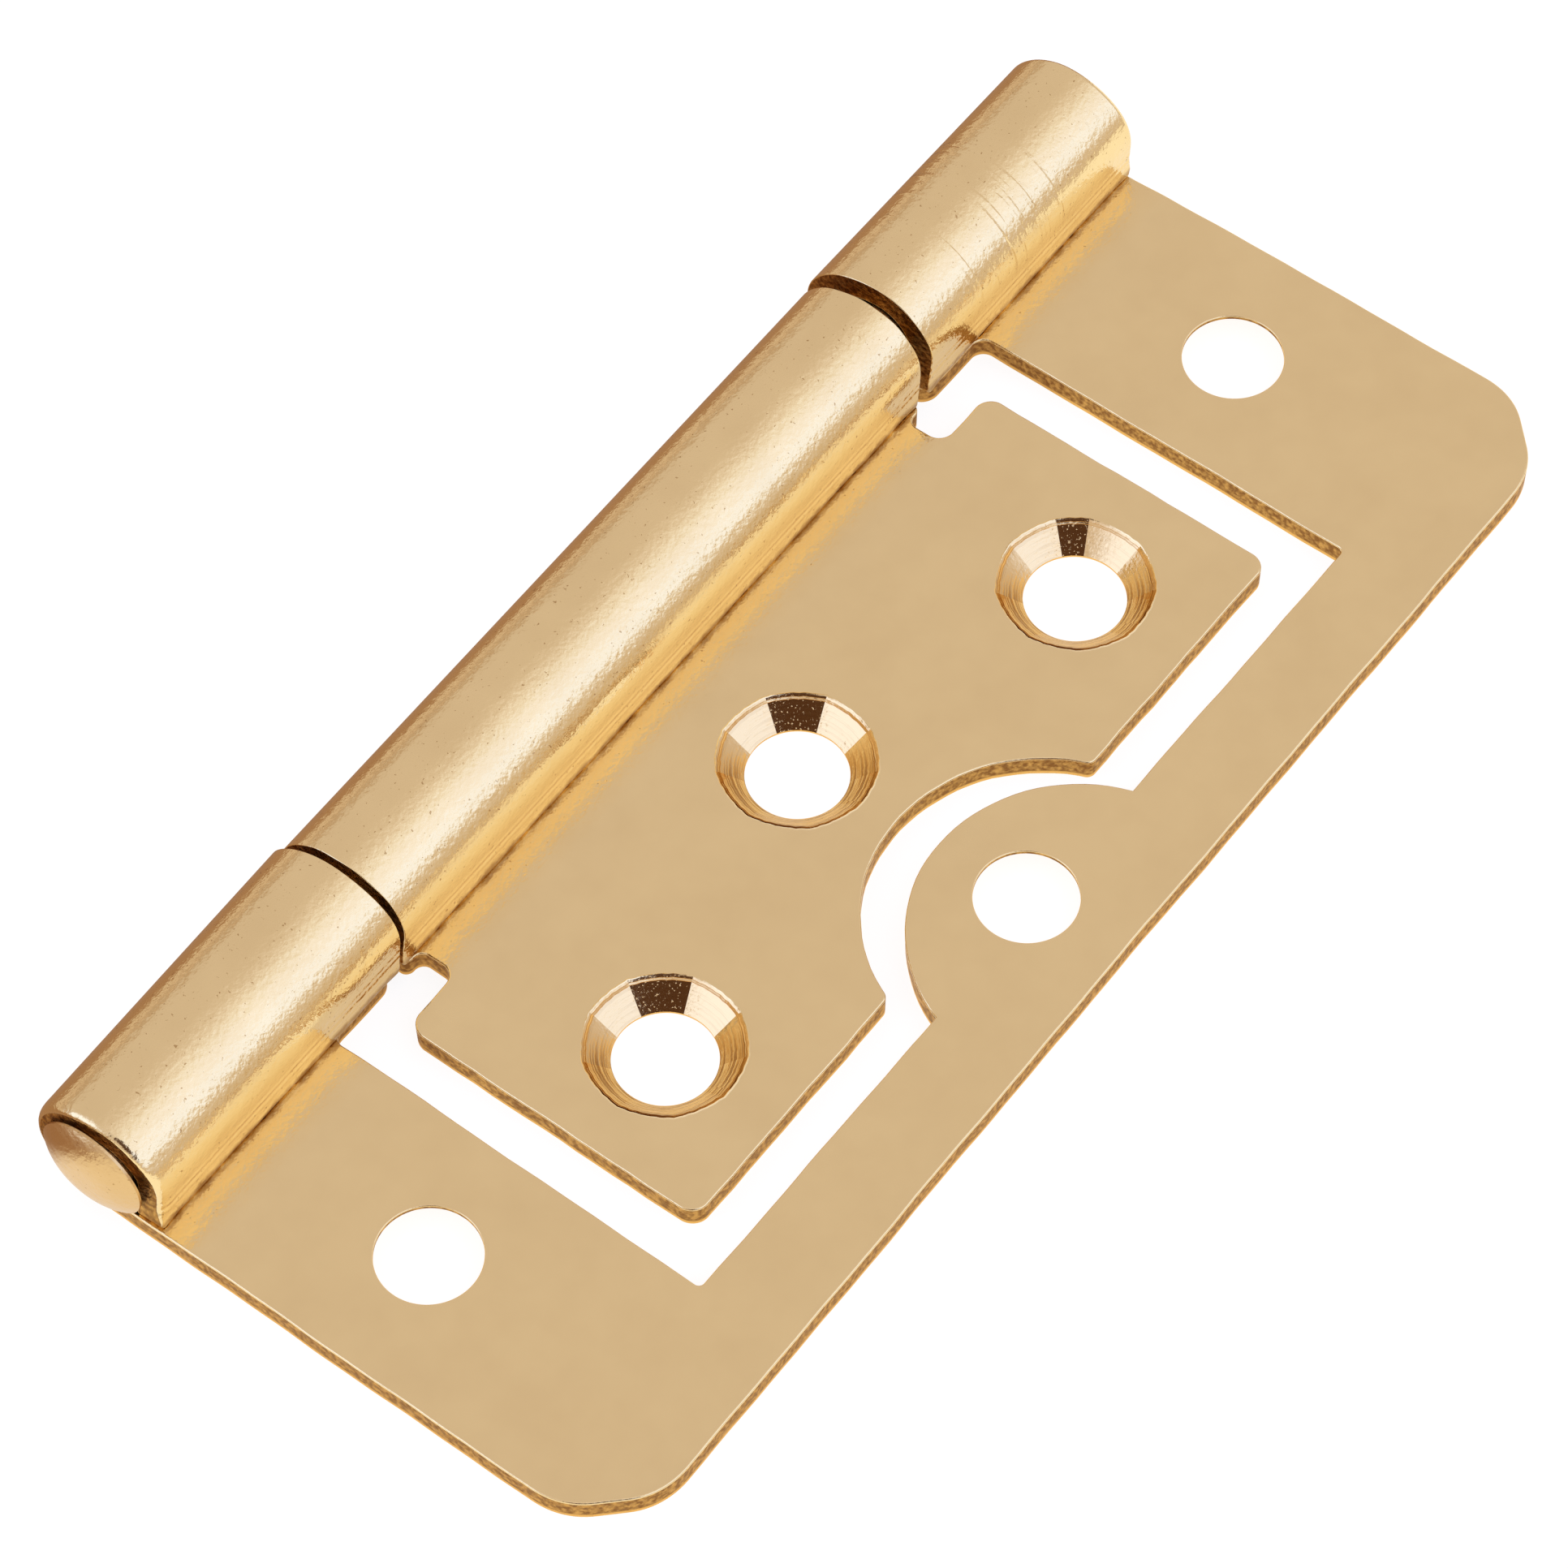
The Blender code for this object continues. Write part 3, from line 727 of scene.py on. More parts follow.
def chatter(borders, depth):
    """The facets that a chattering cutter leaves: how far the rim falls in, and how the facets are turned.

    Borders are the facets' edges in turns. Each facet faces its own middle, as far as its depth says, and
    the rim follows the chord, whose distance from the middle is the cosine of half the facet over the cosine
    of the angle from its middle. Two sines round the hole make the rim jagged.
    """
    turn = np.arange(HOLE_SIDES) / HOLE_SIDES
    borders = np.array(borders)
    which = np.searchsorted(borders, turn + 0.5 / HOLE_SIDES, side="right") - 1
    low, high = borders[which], np.append(borders, borders[0] + 1)[which + 1]
    wraps = which < 0
    low, high = np.where(wraps, borders[-1] - 1, low), np.where(wraps, borders[0], high)
    away = (turn - (low + high) / 2) * 2 * math.pi
    step = 2 * math.pi / HOLE_SIDES
    chord = np.cos((high - low) * math.pi) / np.cos(away)
    jag = np.sin(2 * math.pi * (31 * turn + 0.6)) + np.sin(2 * math.pi * (47 * turn + 0.2))
    return (chord - 1) * depth * 0.5 + JAG * jag, np.stack([away, away + step], 1) * depth


def sunk_hole(section, holes, facets):
    """The inner leaf's hole: a raised rim, a faceted countersink with a double groove, and a short land."""
    rise = (holes.sink_diameter - holes.diameter) / 2
    fall = facets * holes.sink_diameter / 2
    edge = 0.05 * MM
    deep = section.thickness - holes.land
    rim_foot, rim_top, rim_height = 0.09 * MM, 0.04 * MM, 0.02 * MM
    grooves = ((0.93, 0.10), (0.915, 0.075), (0.86, 0.155), (0.845, 0.135))
    profile = EdgeProfile(rise + fall + rim_foot)
    profile.line(rise + fall + rim_top, -rim_height, PLATE)
    profile.line(rise + fall, rim_height, PLATE)
    for across, down in grooves:
        profile.line((rise + fall) * across, deep * down, SINK)
    profile.line(0.0, deep, SINK)
    profile.line(0.0, section.thickness - edge, WALL)
    profile.bow(edge, 0.0, QUARTER, PLATE)
    return profile


def outer_outline(section, sizes):
    """The outer leaf's blank: arms, free bar, window with its lobe, and the two knuckles' strips.

    The small lengths added to a corner's place are how far the real stamping is off it.
    """
    half = sizes.hinge_length / 2
    knuckle = half - sizes.knuckle_length
    window_half = half - sizes.arm_width
    window = sizes.reach - sizes.bar_width
    tongue = section.outside + section.swell + sizes.tongue_lip
    lobe = bite(window, window - sizes.lobe_reach + sizes.lobe_radius, sizes.lobe_radius, 1)
    return rounded(
        [
            (section.end, -half, FOOT_CORNER),
            (sizes.reach + 0.22 * MM - sizes.corner_cut, -half - 0.13 * MM, sizes.free_corner),
            (sizes.reach + 0.2 * MM, sizes.corner_cut - half - 0.1 * MM, sizes.free_corner),
            (sizes.reach, 0.0, 0),
            (sizes.reach, half - sizes.corner_cut + 0.08 * MM, sizes.free_corner),
            (sizes.reach - sizes.corner_cut, half + 0.09 * MM, sizes.free_corner),
            (13 * MM, half + 0.08 * MM, 0),
            (7 * MM, half, 0),
            (section.end, half, FOOT_CORNER),
            (section.end, knuckle, FOOT_CORNER),
            (tongue, knuckle, sizes.tongue_corner),
            (tongue, window_half - 0.13 * MM, sizes.window_root),
            (window + 0.1 * MM, window_half - 0.2 * MM, sizes.window_corner),
        ]
        + [(x, y, 0) for x, y in lobe]
        + [
            (window - 0.05 * MM, -window_half - 0.14 * MM, sizes.window_corner),
            (tongue, -window_half + 0.05 * MM, sizes.window_root),
            (tongue, -knuckle, sizes.tongue_corner),
            (section.end, -knuckle, FOOT_CORNER),
        ]
    )


def inner_outline(section, sizes):
    """The inner leaf's blank: the middle knuckle's strip, its reliefs, and the notch that clears the lobe.

    The end of the knuckle's strip on the near side is slanted.
    """
    knuckle = sizes.knuckle_half
    tongue = section.outside + section.swell + sizes.tongue_lip
    relief = tongue + sizes.relief_width
    shoulder = knuckle - sizes.relief_depth
    notch = bite(sizes.reach, sizes.notch_depth + sizes.notch_radius, sizes.notch_radius, -1)
    side = [
        (section.end, -knuckle, FOOT_CORNER),
        (tongue, -knuckle, sizes.tongue_corner),
        (tongue, -shoulder, sizes.tongue_corner),
        (relief, -shoulder, sizes.relief_corner),
        (relief, -sizes.half_length, sizes.corner),
        (sizes.reach, -sizes.half_length, sizes.corner),
    ]
    slant = [
        (section.end, -knuckle - sizes.slant, FOOT_CORNER),
        (tongue, -knuckle + sizes.slant / 2, sizes.tongue_corner),
    ]
    lips = (0, len(notch) - 1)
    middle = [(x, y, sizes.notch_lip if i in lips else 0) for i, (x, y) in enumerate(notch)]
    return rounded(slant + side[2:] + middle + [(x, -y, radius) for x, y, radius in side[::-1]])


class Tree:
    """The node tree of a material or a world, with one call for each kind of node.

    Every input takes a number or a colour, which is set on it, or a node's output, which is linked to it.
    """

    def __init__(self, owner):
        owner.use_nodes = True
        self.nodes, self.links = owner.node_tree.nodes, owner.node_tree.links

    def give(self, socket, value):
        """Set an input, or link it."""
        if isinstance(value, bpy.types.NodeSocket):
            self.links.new(value, socket)
        else:
            socket.default_value = value

    def node(self, kind, inputs=None, **settings):
        node = self.nodes.new("ShaderNode" + kind)
        for name, value in settings.items():
            setattr(node, name, value)
        for name, value in (inputs or {}).items():
            self.give(node.inputs[name], value)
        return node

    def parts(self, vector):
        """The X, Y and Z of a vector."""
        return self.node("SeparateXYZ", {0: vector}).outputs

    def noise(self, place, scale, detail=2.0):
        return self.node("TexNoise", {"Vector": place, "Scale": scale, "Detail": detail}).outputs["Fac"]

    def bump(self, height, distance, below=None):
        """A bump of this height in metres over the one below it."""
        inputs = {"Height": height, "Distance": distance}
        if below is not None:
            inputs["Normal"] = below
        return self.node("Bump", inputs).outputs["Normal"]

    def span(self, value, low, high, to_low=0.0, to_high=1.0, **settings):
        """A value mapped from one range to another and clamped to it."""
        inputs = {"Value": value, "From Min": low, "From Max": high, "To Min": to_low, "To Max": to_high}
        return self.node("MapRange", inputs, **settings).outputs["Result"]

    def calc(self, operation, first, second=0.0):
        return self.node("Math", {0: first, 1: second}, operation=operation).outputs[0]

    def vector(self, operation, first, second=(0.0, 0.0, 0.0)):
        node = self.node("VectorMath", {0: first, 1: second}, operation=operation)
        return node.outputs["Value" if operation in ("LENGTH", "DOT_PRODUCT") else "Vector"]

    def mix(self, factor, first, second):
        """One colour fading into another."""
        first, second = (c if isinstance(c, bpy.types.NodeSocket) else (*c, 1.0) for c in (first, second))
        return self.node("Mix", {"Factor": factor, 6: first, 7: second}, data_type="RGBA").outputs[2]

    def light(self, kind, tint, strength=1.0):
        """A Background or an Emission of this colour."""
        tint = tint if isinstance(tint, bpy.types.NodeSocket) else (*tint, 1.0)
        return self.node(kind, {"Color": tint, "Strength": strength}).outputs[0]

    def blend(self, factor, first, second):
        """One shader fading into another."""
        return self.node("MixShader", {"Fac": factor, 1: first, 2: second}).outputs[0]


def new_metal(name, roughness, edge_tint=None):
    """A material whose Principled shader is metal, with its tree, shader and object coordinates."""
    material = bpy.data.materials.new(name)
    tree = Tree(material)
    shader = tree.nodes["Principled BSDF"]
    shader.inputs["Metallic"].default_value = 1.0
    shader.inputs["Roughness"].default_value = roughness
    if edge_tint is not None:
        shader.inputs["Specular Tint"].default_value = edge_tint
    return material, tree, shader, tree.node("TexCoord").outputs["Object"]


def plate_material(name, base, dirt, roughness, scratched=False):
    """Polished brass plate with orange peel, gentle waves, pits beside the barrel and painted shade in the
    seam.

    Painted shade darkens the plate within half a millimetre of the line where the foot meets the leaf, and
    within about two and a half millimetres of it the plate is a deeper yellow, a painted reflection of the
    barrel in the leaf. The peel is weaker on the flat leaf. A scratched plate also has fine lines round the
    barrel's upper knuckle.
    """
    material, tree, shader, place = new_metal(name, roughness)
    offset = tree.vector("SUBTRACT", place, (PIN_AXIS[0] + SEAM_OUT, 0.0, SEAM_HEIGHT))
    far = tree.vector("LENGTH", tree.vector("MULTIPLY", offset, (1.0, 0.0, 1.0)))
    ragged = tree.span(tree.noise(place, 900.0, 5.0), 0.3, 0.7, 0.0, 0.25 * MM)
    seam = tree.calc("ADD", far, ragged)
    # Painted shade: the plate darkens within half a millimetre of the seam.
    seam_shade = tree.span(seam, 0.5 * MM, 0.22 * MM, 0.0, 0.85)
    across = tree.parts(place)
    beside = tree.span(across["X"], PIN_AXIS[0] + 8 * MM, PIN_AXIS[0] + 4 * MM, 0.17, 0.33)
    pit = tree.span(tree.calc("SUBTRACT", beside, tree.noise(place, 5200.0, 3.0)), 0.0, 0.04, 0.0, 0.7)
    mottle = tree.span(tree.noise(place, 380.0, 6.0), 0.35, 0.7, 0.0, 0.07)
    marks_and_shade = tree.calc("MAXIMUM", seam_shade, tree.calc("MAXIMUM", pit, mottle))
    # Painted reflection: a deeper yellow within a few millimetres of the seam stands in for the barrel
    # reflected in the leaf.
    reflected_yellow = (base[0], base[1] * 0.83, base[2] * 0.55)
    reflection_tinted = tree.mix(tree.span(seam, 2.6 * MM, 0.9 * MM, 0.0, 0.22), base, reflected_yellow)
    tree.give(shader.inputs["Base Color"], tree.mix(marks_and_shade, reflection_tinted, dirt))
    waves = tree.bump(tree.noise(place, 260.0, 1.0), 0.00003)
    curled = tree.span(across["X"], PIN_AXIS[0] + 6 * MM, PIN_AXIS[0] + 4 * MM, 0.3, 1.0)
    peel = tree.bump(tree.calc("MULTIPLY", tree.noise(place, 3100.0), curled), 0.000032, waves)
    shape = tree.bump(tree.noise(place, 6500.0), 0.000011, peel)
    if scratched:
        squeezed = tree.vector("MULTIPLY", place, (90.0, 1500.0, 90.0))
        line = tree.span(tree.noise(squeezed, 1.0, 2.0), 0.56, 0.68)
        near = tree.span(across["Y"], 23 * MM, 27 * MM)
        until = tree.span(across["Y"], 34 * MM, 31 * MM)
        above = tree.span(across["Z"], 3 * MM, 4 * MM)
        where = tree.calc("MULTIPLY", tree.calc("MULTIPLY", near, until), above)
        shape = tree.bump(tree.calc("MULTIPLY", line, where), 0.00003, shape)
    tree.give(shader.inputs["Normal"], shape)
    return material


def sheared_material(name, base, dirt, roughness):
    """Sheared edge: brass plate over the fine tears that the punch left across the sheet, light and dark.

    The lowest quarter of a millimetre, where the sheet lies on its back, is the punch's clean cut, left free
    of tears and brighter as a painted highlight along the lower edge.
    """
    material, tree, shader, place = new_metal(name, roughness, EDGE_TINT)
    tears = tree.span(tree.noise(place, 3600.0, 5.0), 0.4, 0.66, 0.0, 0.62)
    # Painted highlight along the bottom of the edge, on the punch's clean cut.
    clean_cut_and_highlight = tree.span(tree.parts(place)["Z"], 0.34 * MM, 0.22 * MM)
    tree.give(shader.inputs["Base Color"], tree.mix(tree.calc("MAXIMUM", tears, clean_cut_and_highlight), dirt, base))
    tree.give(shader.inputs["Normal"], tree.bump(tree.noise(place, 3000.0, 5.0), 0.00009))
    return material


def sunk_material(name, base, cut, dirt, roughness):
    """Countersink: brass plate over the fine rings that the cutter left, counted down the map's second axis.

    The cutter tore more on the side towards the leaf's near end, where the rings are deeper and the plate and
    rings are darker, partly as painted shade, and it left chips straight across from there. Both go by the
    cosine of the angle from that side, and the angle is the map's first axis over the hole's radius.
    """
    material, tree, shader, place = new_metal(name, roughness, EDGE_TINT)
    laid_out = tree.node("TexCoord").outputs["UV"]
    ring = tree.noise(tree.vector("MULTIPLY", laid_out, (0.3, 7.0, 1.0)), 1.0, 4.0)
    turn = tree.calc("MULTIPLY", tree.parts(laid_out)["X"], 0.4)
    side = tree.calc("COSINE", tree.calc("SUBTRACT", turn, 0.9))
    # Painted shade together with the tearing: this side's plate and rings are darker.
    torn_and_shaded = tree.span(side, -0.35, 0.3, 0.1, 0.8)
    deep = tree.span(ring, 0.5, 0.42)
    tone = tree.mix(tree.calc("MULTIPLY", deep, torn_and_shaded), tree.mix(torn_and_shaded, base, cut), dirt)
    tree.give(shader.inputs["Base Color"], tone)
    rings = tree.bump(tree.calc("MULTIPLY", ring, torn_and_shaded), 0.00005)
    peel = tree.bump(tree.noise(place, 4500.0), 0.000012, rings)
    across = tree.span(side, -0.8, -0.95)
    chip = tree.span(tree.noise(place, 9000.0, 4.0), 0.64, 0.72)
    tree.give(shader.inputs["Normal"], tree.bump(tree.calc("MULTIPLY", chip, across), 0.000007, peel))
    return material


class HINGE_OT_outer_leaf(bpy.types.Operator):
    """Build the outer leaf: one stamped sheet with a window and a rolled knuckle at each end"""

    bl_idname = "flush_hinge.outer_leaf"
    bl_label = "Outer Leaf"

    def execute(self, context):
        sheet, sizes = set_of(context, "sheet"), set_of(context, "outer")
        holes, finish = set_of(context, "holes"), set_of(context, "finish")
        half = sizes.hinge_length / 2
        knuckle = half - sizes.knuckle_length
        section = RolledSection(sheet, (np.array([-half, -knuckle, knuckle, half]), OUTER_WANDER))
        radius = holes.diameter / 2
        places = [
            (sizes.reach - holes.arm_setback, -(half - holes.arm_inset)),
            (sizes.reach - holes.arm_setback, half - holes.arm_inset),
            (sizes.reach - holes.lobe_inset, 0.0),
        ]
        loops = [(circle(place, radius), plain_hole(section, holes), None) for place in places]
        sides = (-half, -knuckle, knuckle, half)
        shell = leaf_shell(section, sheet, outer_outline(section, sizes), loops, sides, half)
        leaf = shell.to_object("outer_leaf_plated", leaf_materials(finish, "outer"))
        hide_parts("outer_leaf")
        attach(leaf, "outer")
        return {"FINISHED"}


class HINGE_OT_inner_leaf(bpy.types.Operator):
    """Build the inner leaf: the sheet that nests in the window, with three countersunk holes"""

    bl_idname = "flush_hinge.inner_leaf"
    bl_label = "Inner Leaf"

    def execute(self, context):
        sheet, sizes = set_of(context, "sheet"), set_of(context, "inner")
        holes, finish = set_of(context, "holes"), set_of(context, "finish")
        section = RolledSection(sheet, (np.array([-1.0, 1.0]), INNER_WANDER))
        radius = holes.diameter / 2
        end_run, end_y = sizes.reach - holes.inner_setback, sizes.half_length - holes.inner_inset
        places = [(end_run, -end_y), (end_run, end_y), (sizes.notch_depth - holes.middle_setback, 0.0)]
        places = [(run, y + holes.inner_drift) for run, y in places]
        loops = []
        for place, borders in zip(places, FACETS):
            fall, twist = chatter(borders, holes.facet_depth)
            loops.append((circle(place, radius), sunk_hole(section, holes, fall), twist))
        sides = (-sizes.knuckle_half - sizes.slant, sizes.knuckle_half)
        shell = leaf_shell(section, sheet, inner_outline(section, sizes), loops, sides, math.inf)
        middle = (INNER_LOW[1] + INNER_HIGH[1]) / 2 - PIN_AXIS[1]
        shell.points = [points + (0.0, middle, 0.0) for points in shell.points]
        leaf = shell.to_object("inner_leaf_plated", leaf_materials(finish, "inner"))
        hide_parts("inner_leaf")
        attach(leaf, "inner")
        return {"FINISHED"}


def leaf_materials(finish, which):
    """The finishes of a leaf, in the order of PLATE, WALL and SINK."""
    leaf, turned_off = which + "_leaf_", finish.sink_roughness
    return [
        plate_material(leaf + "plate", finish.plate, finish.dirt, finish.roughness, which == "outer"),
        sheared_material(leaf + "sheared_edge", finish.wall, finish.tear, finish.wall_roughness),
        sunk_material(leaf + "countersink", finish.sink, finish.cut, finish.tear, turned_off),
    ]


def crown(base_radius, height, base, way, steps, power):
    """Half section of a dome that drops as a power of the distance from the axis, and what it faces."""
    share_out = 1 - np.arange(steps + 1) / steps
    along = base + way * height * (1 - share_out**power)
    lean = height * power * share_out ** (power - 1) / base_radius
    facing = np.stack([lean, np.full_like(along, way)], 1)
    facing = facing / np.linalg.norm(facing, axis=1, keepdims=True)
    return np.stack([base_radius * share_out, along], 1), facing


class HINGE_OT_pin(bpy.types.Operator):
    """Build the pin with its domed head"""

    bl_idname = "flush_hinge.pin"
    bl_label = "Pin"

    def execute(self, context):
        sizes, finish = set_of(context, "pin"), set_of(context, "finish")
        low, high = PIN_LOW[1] - PIN_AXIS[1], PIN_HIGH[1] - PIN_AXIS[1]
        radius, rim = sizes.diameter / 2, sizes.head_diameter / 2
        head_base, tail_base = low + sizes.head_height, high - sizes.tail_crown
        head, head_faces = crown(rim, sizes.head_height, head_base, -1, steps=24, power=3.0)
        tail, tail_faces = crown(radius, sizes.tail_crown, tail_base, 1, steps=8, power=2.0)
        seat = head_base + sizes.head_rim
        profile = np.concatenate([head[::-1], [(rim, seat), (radius, seat)], tail])
        side, step = (1.0, 0.0), (0.0, 1.0)
        starts = np.concatenate([head_faces[::-1][:-1], [side, step, side], tail_faces[:-1]])
        ends = np.concatenate([head_faces[::-1][1:], [side, step, side], tail_faces[1:]])
        shell = Shell()
        turned(shell, profile, starts, ends)
        for points in shell.points:
            beyond_shank = np.hypot(points[:, 0], points[:, 2]) > radius + TOUCH
            points[:, 0] += HEAD_SHIFT * (beyond_shank | (points[:, 1] < seat - TOUCH))
        # The pin's darker plate is painted shade on its head.
        plate = plate_material("pin_plate", finish.pin, finish.dirt, finish.pin_roughness)
        pin = shell.to_object("hinge_pin_plated", [plate])
        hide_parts("hinge_pin")
        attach(pin, "outer")
        return {"FINISHED"}


def turned(shell, profile, starts, ends):
    """A solid of revolution about Y from a (radius, y) profile that begins and ends on the axis.

    A point is (radius times sine, y, radius times cosine). Starts and ends are what each stretch faces.
    """
    turn = np.arange(PIN_SIDES) * 2 * math.pi / PIN_SIDES
    ring = np.stack([np.sin(turn), np.zeros(PIN_SIDES), np.cos(turn)], 1)
    up = np.array([0.0, 1.0, 0.0])
    inner = profile[1:-1]
    first = shell.add_points(inner[:, None, :1] * ring + inner[:, None, 1:] * up)
    number = first + np.arange(len(inner) * PIN_SIDES).reshape(len(inner), PIN_SIDES)

    def facing(facings, columns):
        return facings[:, None, :1] * ring[columns] + facings[:, None, 1:] * up

    here, ahead = np.arange(PIN_SIDES), np.roll(np.arange(PIN_SIDES), -1)
    low, high = slice(0, -1), slice(1, None)
    around = ((low, here, starts), (low, ahead, starts), (high, ahead, ends), (high, here, ends))
    corners = np.stack([number[rows, columns] for rows, columns, _ in around], 2)
    normals = np.stack([facing(facings[1:-1], columns) for _, columns, facings in around], 2)
    shell.add_faces(corners.reshape(-1, 4), normals.reshape(-1, 4, 3), np.zeros(2), 0)
    for pole, row, facings, order in (
        (profile[0], number[0], (starts[0], ends[0]), 1),
        (profile[-1], number[-1], (ends[-1], starts[-1]), -1),
    ):
        tip = shell.add_points(np.array([[0.0, pole[1], 0.0]]))
        tips = np.full(PIN_SIDES, tip)
        fan = np.stack([tips, row[ahead], row], 1)
        tip_faces = np.broadcast_to(facings[0][1] * up, (PIN_SIDES, 3))
        rim_faces = facing(facings[1][None], here)[0]
        fan_normals = np.stack([tip_faces, rim_faces[ahead], rim_faces], 1)
        if order < 0:
            fan, fan_normals = fan[:, ::-1], fan_normals[:, ::-1]
        shell.add_faces(fan, fan_normals, np.zeros(2), 0)


def direction(azimuth, elevation):
    """A unit vector from an azimuth counted from +X towards +Y and an elevation, both in degrees."""
    a, e = math.radians(azimuth), math.radians(elevation)
    return (math.cos(a) * math.cos(e), math.sin(a) * math.cos(e), math.sin(e))


def light_room(studio):
    """World light: a ring of light round the pin's direction, with a soft fill light and an unlit part.

    The ring's colour depends on the angle from +X over the top, and it fades into the room towards the
    pin's two directions. Each of the other two is a round patch of the sky, given in degrees by the azimuth
    and height of its middle, full within one angle of it and gone at another. The camera sees plain white.
    """
    world = bpy.data.worlds.new("studio")
    bpy.context.scene.world = world
    tree = Tree(world)
    tree.nodes.clear()
    view = tree.node("TexCoord").outputs["Generated"]
    parts = tree.parts(view)
    turn = tree.calc("DIVIDE", tree.calc("ARCTAN2", parts["Z"], parts["X"]), math.pi)
    ring = tree.node("ValToRGB", {"Fac": turn})
    stops = ring.color_ramp.elements
    while len(stops) < len(SKY):
        stops.new(0.5)
    for stop, (angle, tint) in zip(stops, SKY):
        stop.position = angle / 180
        stop.color = (*tint, 1.0)
    ends = tree.span(tree.calc("ABSOLUTE", parts["Y"]), 0.62, 0.8)
    current = tree.mix(ends, ring.outputs["Color"], studio.room)
    patches = ((-128, 27, 14, 34, studio.fill), (-52, 38, 17, 21.5, studio.shade))
    for azimuth, elevation, full, gone, tint in patches:
        angle = tree.calc("ARCCOSINE", tree.vector("DOT_PRODUCT", view, direction(azimuth, elevation)))
        limits = math.radians(gone), math.radians(full)
        current = tree.mix(tree.span(angle, *limits, interpolation_type="SMOOTHSTEP"), current, tint)
    seen = tree.node("LightPath").outputs["Is Camera Ray"]
    shown = tree.blend(seen, tree.light("Background", current), tree.light("Background", (1.0, 1.0, 1.0)))
    tree.node("OutputWorld", {"Surface": shown})


def lay_floor(studio):
    """A floor under the hinge, white with a faint shadow to the camera, to clear parts and to the metal.

    The metal also sees two cards on it: a brown one, painted shade of the floor under the leaves beside the
    barrel and out to the left of it, and a grey one beyond the free edge. All other light meets a plain warm
    floor.
    """
    half, below = 2.0, -0.02 * MM
    mesh = bpy.data.meshes.new("floor")
    corners = [(-half, -half, below), (half, -half, below), (half, half, below), (-half, half, below)]
    mesh.from_pydata(corners, [], [(0, 1, 2, 3)])
    material = bpy.data.materials.new("pale_floor")
    tree = Tree(material)
    tree.nodes.clear()
    parts = tree.parts(tree.node("TexCoord").outputs["Object"])

    def rise(low, high, to_low=0.0, to_high=1.0):
        """A share that changes between two distances from the pin axis."""
        return tree.span(parts["X"], PIN_AXIS[0] + low * MM, PIN_AXIS[0] + high * MM, to_low, to_high)

    # Painted shade for the metal: a brown card where the floor lies under the leaves and left of the barrel.
    along = tree.span(tree.calc("ABSOLUTE", parts["Y"]), 36.5 * MM, 34.5 * MM)
    shade_under_leaf = tree.calc("MULTIPLY", along, rise(9.5, 7.5, 0.0, 0.42))
    near = tree.calc("MAXIMUM", rise(-3, -5), shade_under_leaf)
    warm_shadow = (studio.shadow * 1.1, studio.shadow, studio.shadow * 0.85, 1.0)
    matt = tree.node("BsdfDiffuse", {"Color": warm_shadow})
    glow = tree.light("Emission", (1.0, 1.0, 1.0), 1.05 - studio.shadow * 0.7)
    seen = tree.node("AddShader", {0: matt.outputs[0], 1: glow}).outputs[0]
    card = tree.light("Emission", studio.card)
    with_shade_card = tree.blend(tree.calc("MULTIPLY", near, rise(-90, -40, 0.45, 1.0)), seen, card)
    mirrored = tree.blend(rise(34, 40), with_shade_card, tree.light("Emission", studio.side_card))
    path = tree.node("LightPath").outputs
    shown = tree.node("BsdfDiffuse", {"Color": (*studio.floor, 1.0)}).outputs[0]
    for ray, shader in (("Glossy", mirrored), ("Camera", seen), ("Transmission", seen)):
        shown = tree.blend(path[f"Is {ray} Ray"], shown, shader)
    tree.node("OutputMaterial", {"Surface": shown})
    mesh.materials.append(material)
    floor = bpy.data.objects.new("floor", mesh)
    bpy.context.scene.collection.objects.link(floor)


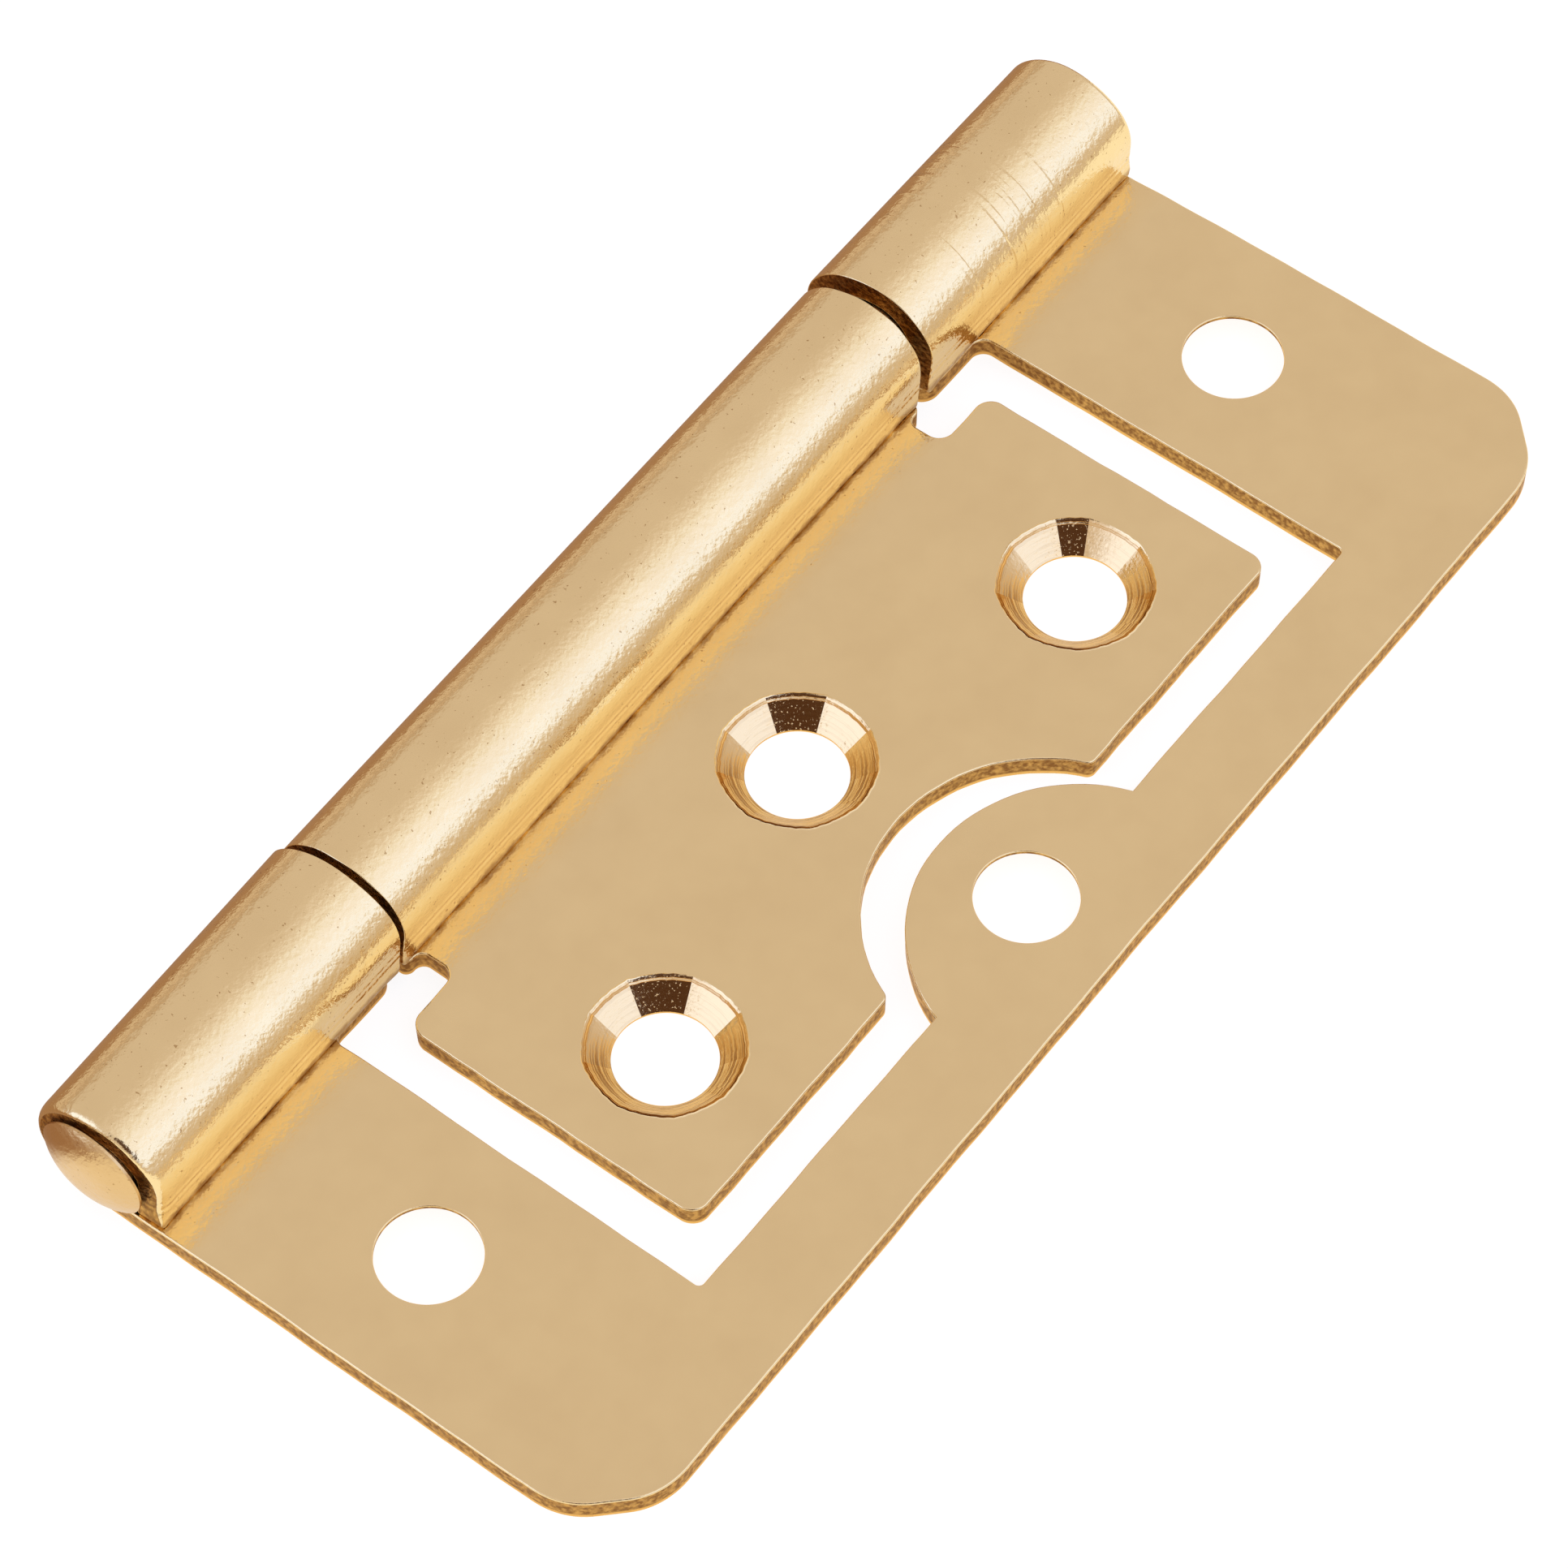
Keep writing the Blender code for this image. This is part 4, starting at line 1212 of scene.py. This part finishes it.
def place_camera(studio):
    """A camera at its place, aimed at a point on the floor and rolled about its line of sight."""
    data = bpy.data.cameras.new("camera")
    data.sensor_width = 36.0
    data.lens = studio.lens
    data.clip_start, data.clip_end = 0.01, 10.0
    camera = bpy.data.objects.new("camera", data)
    place, aim = Vector(studio.camera_place), Vector(studio.camera_aim)
    turn = (aim - place).to_track_quat("-Z", "Y").to_matrix().to_4x4()
    camera.matrix_world = Matrix.Translation(place) @ turn @ Matrix.Rotation(studio.camera_roll, 4, "Z")
    bpy.context.scene.collection.objects.link(camera)
    bpy.context.scene.camera = camera


class HINGE_OT_studio(bpy.types.Operator):
    """Set the pale floor, the soft light and the camera"""

    bl_idname = "flush_hinge.studio"
    bl_label = "Studio"

    def execute(self, context):
        studio = set_of(context, "studio")
        light_room(studio)
        lay_floor(studio)
        place_camera(studio)
        context.scene.view_settings.view_transform = "Standard"
        return {"FINISHED"}


class HINGE_PT_sidebar(bpy.types.Panel):
    """Builds the hinge piece by piece"""

    bl_label = "Flush Hinge"
    bl_idname = "HINGE_PT_sidebar"
    bl_space_type = "VIEW_3D"
    bl_region_type = "UI"
    bl_category = "Flush Hinge"

    def draw(self, context):
        for operator in OPERATORS:
            self.layout.operator(operator.bl_idname)


GROUPS = {
    "sheet": FlushHingeSheet,
    "outer": FlushHingeOuterLeaf,
    "inner": FlushHingeInnerLeaf,
    "holes": FlushHingeHoles,
    "pin": FlushHingePin,
    "finish": FlushHingeFinish,
    "studio": FlushHingeStudio,
}
OPERATORS = (HINGE_OT_outer_leaf, HINGE_OT_inner_leaf, HINGE_OT_pin, HINGE_OT_studio)


def register():
    for group in GROUPS.values():
        bpy.utils.register_class(group)
    for name, group in GROUPS.items():
        setattr(bpy.types.Scene, "flush_hinge_" + name, bpy.props.PointerProperty(type=group))
    for operator in OPERATORS:
        bpy.utils.register_class(operator)
    bpy.utils.register_class(HINGE_PT_sidebar)


def unregister():
    bpy.utils.unregister_class(HINGE_PT_sidebar)
    for operator in reversed(OPERATORS):
        bpy.utils.unregister_class(operator)
    for name in GROUPS:
        delattr(bpy.types.Scene, "flush_hinge_" + name)
    for group in reversed(GROUPS.values()):
        bpy.utils.unregister_class(group)


def main():
    register()
    bpy.ops.flush_hinge.outer_leaf()
    bpy.ops.flush_hinge.inner_leaf()
    bpy.ops.flush_hinge.pin()
    bpy.ops.flush_hinge.studio()


if __name__ == "__main__":
    main()
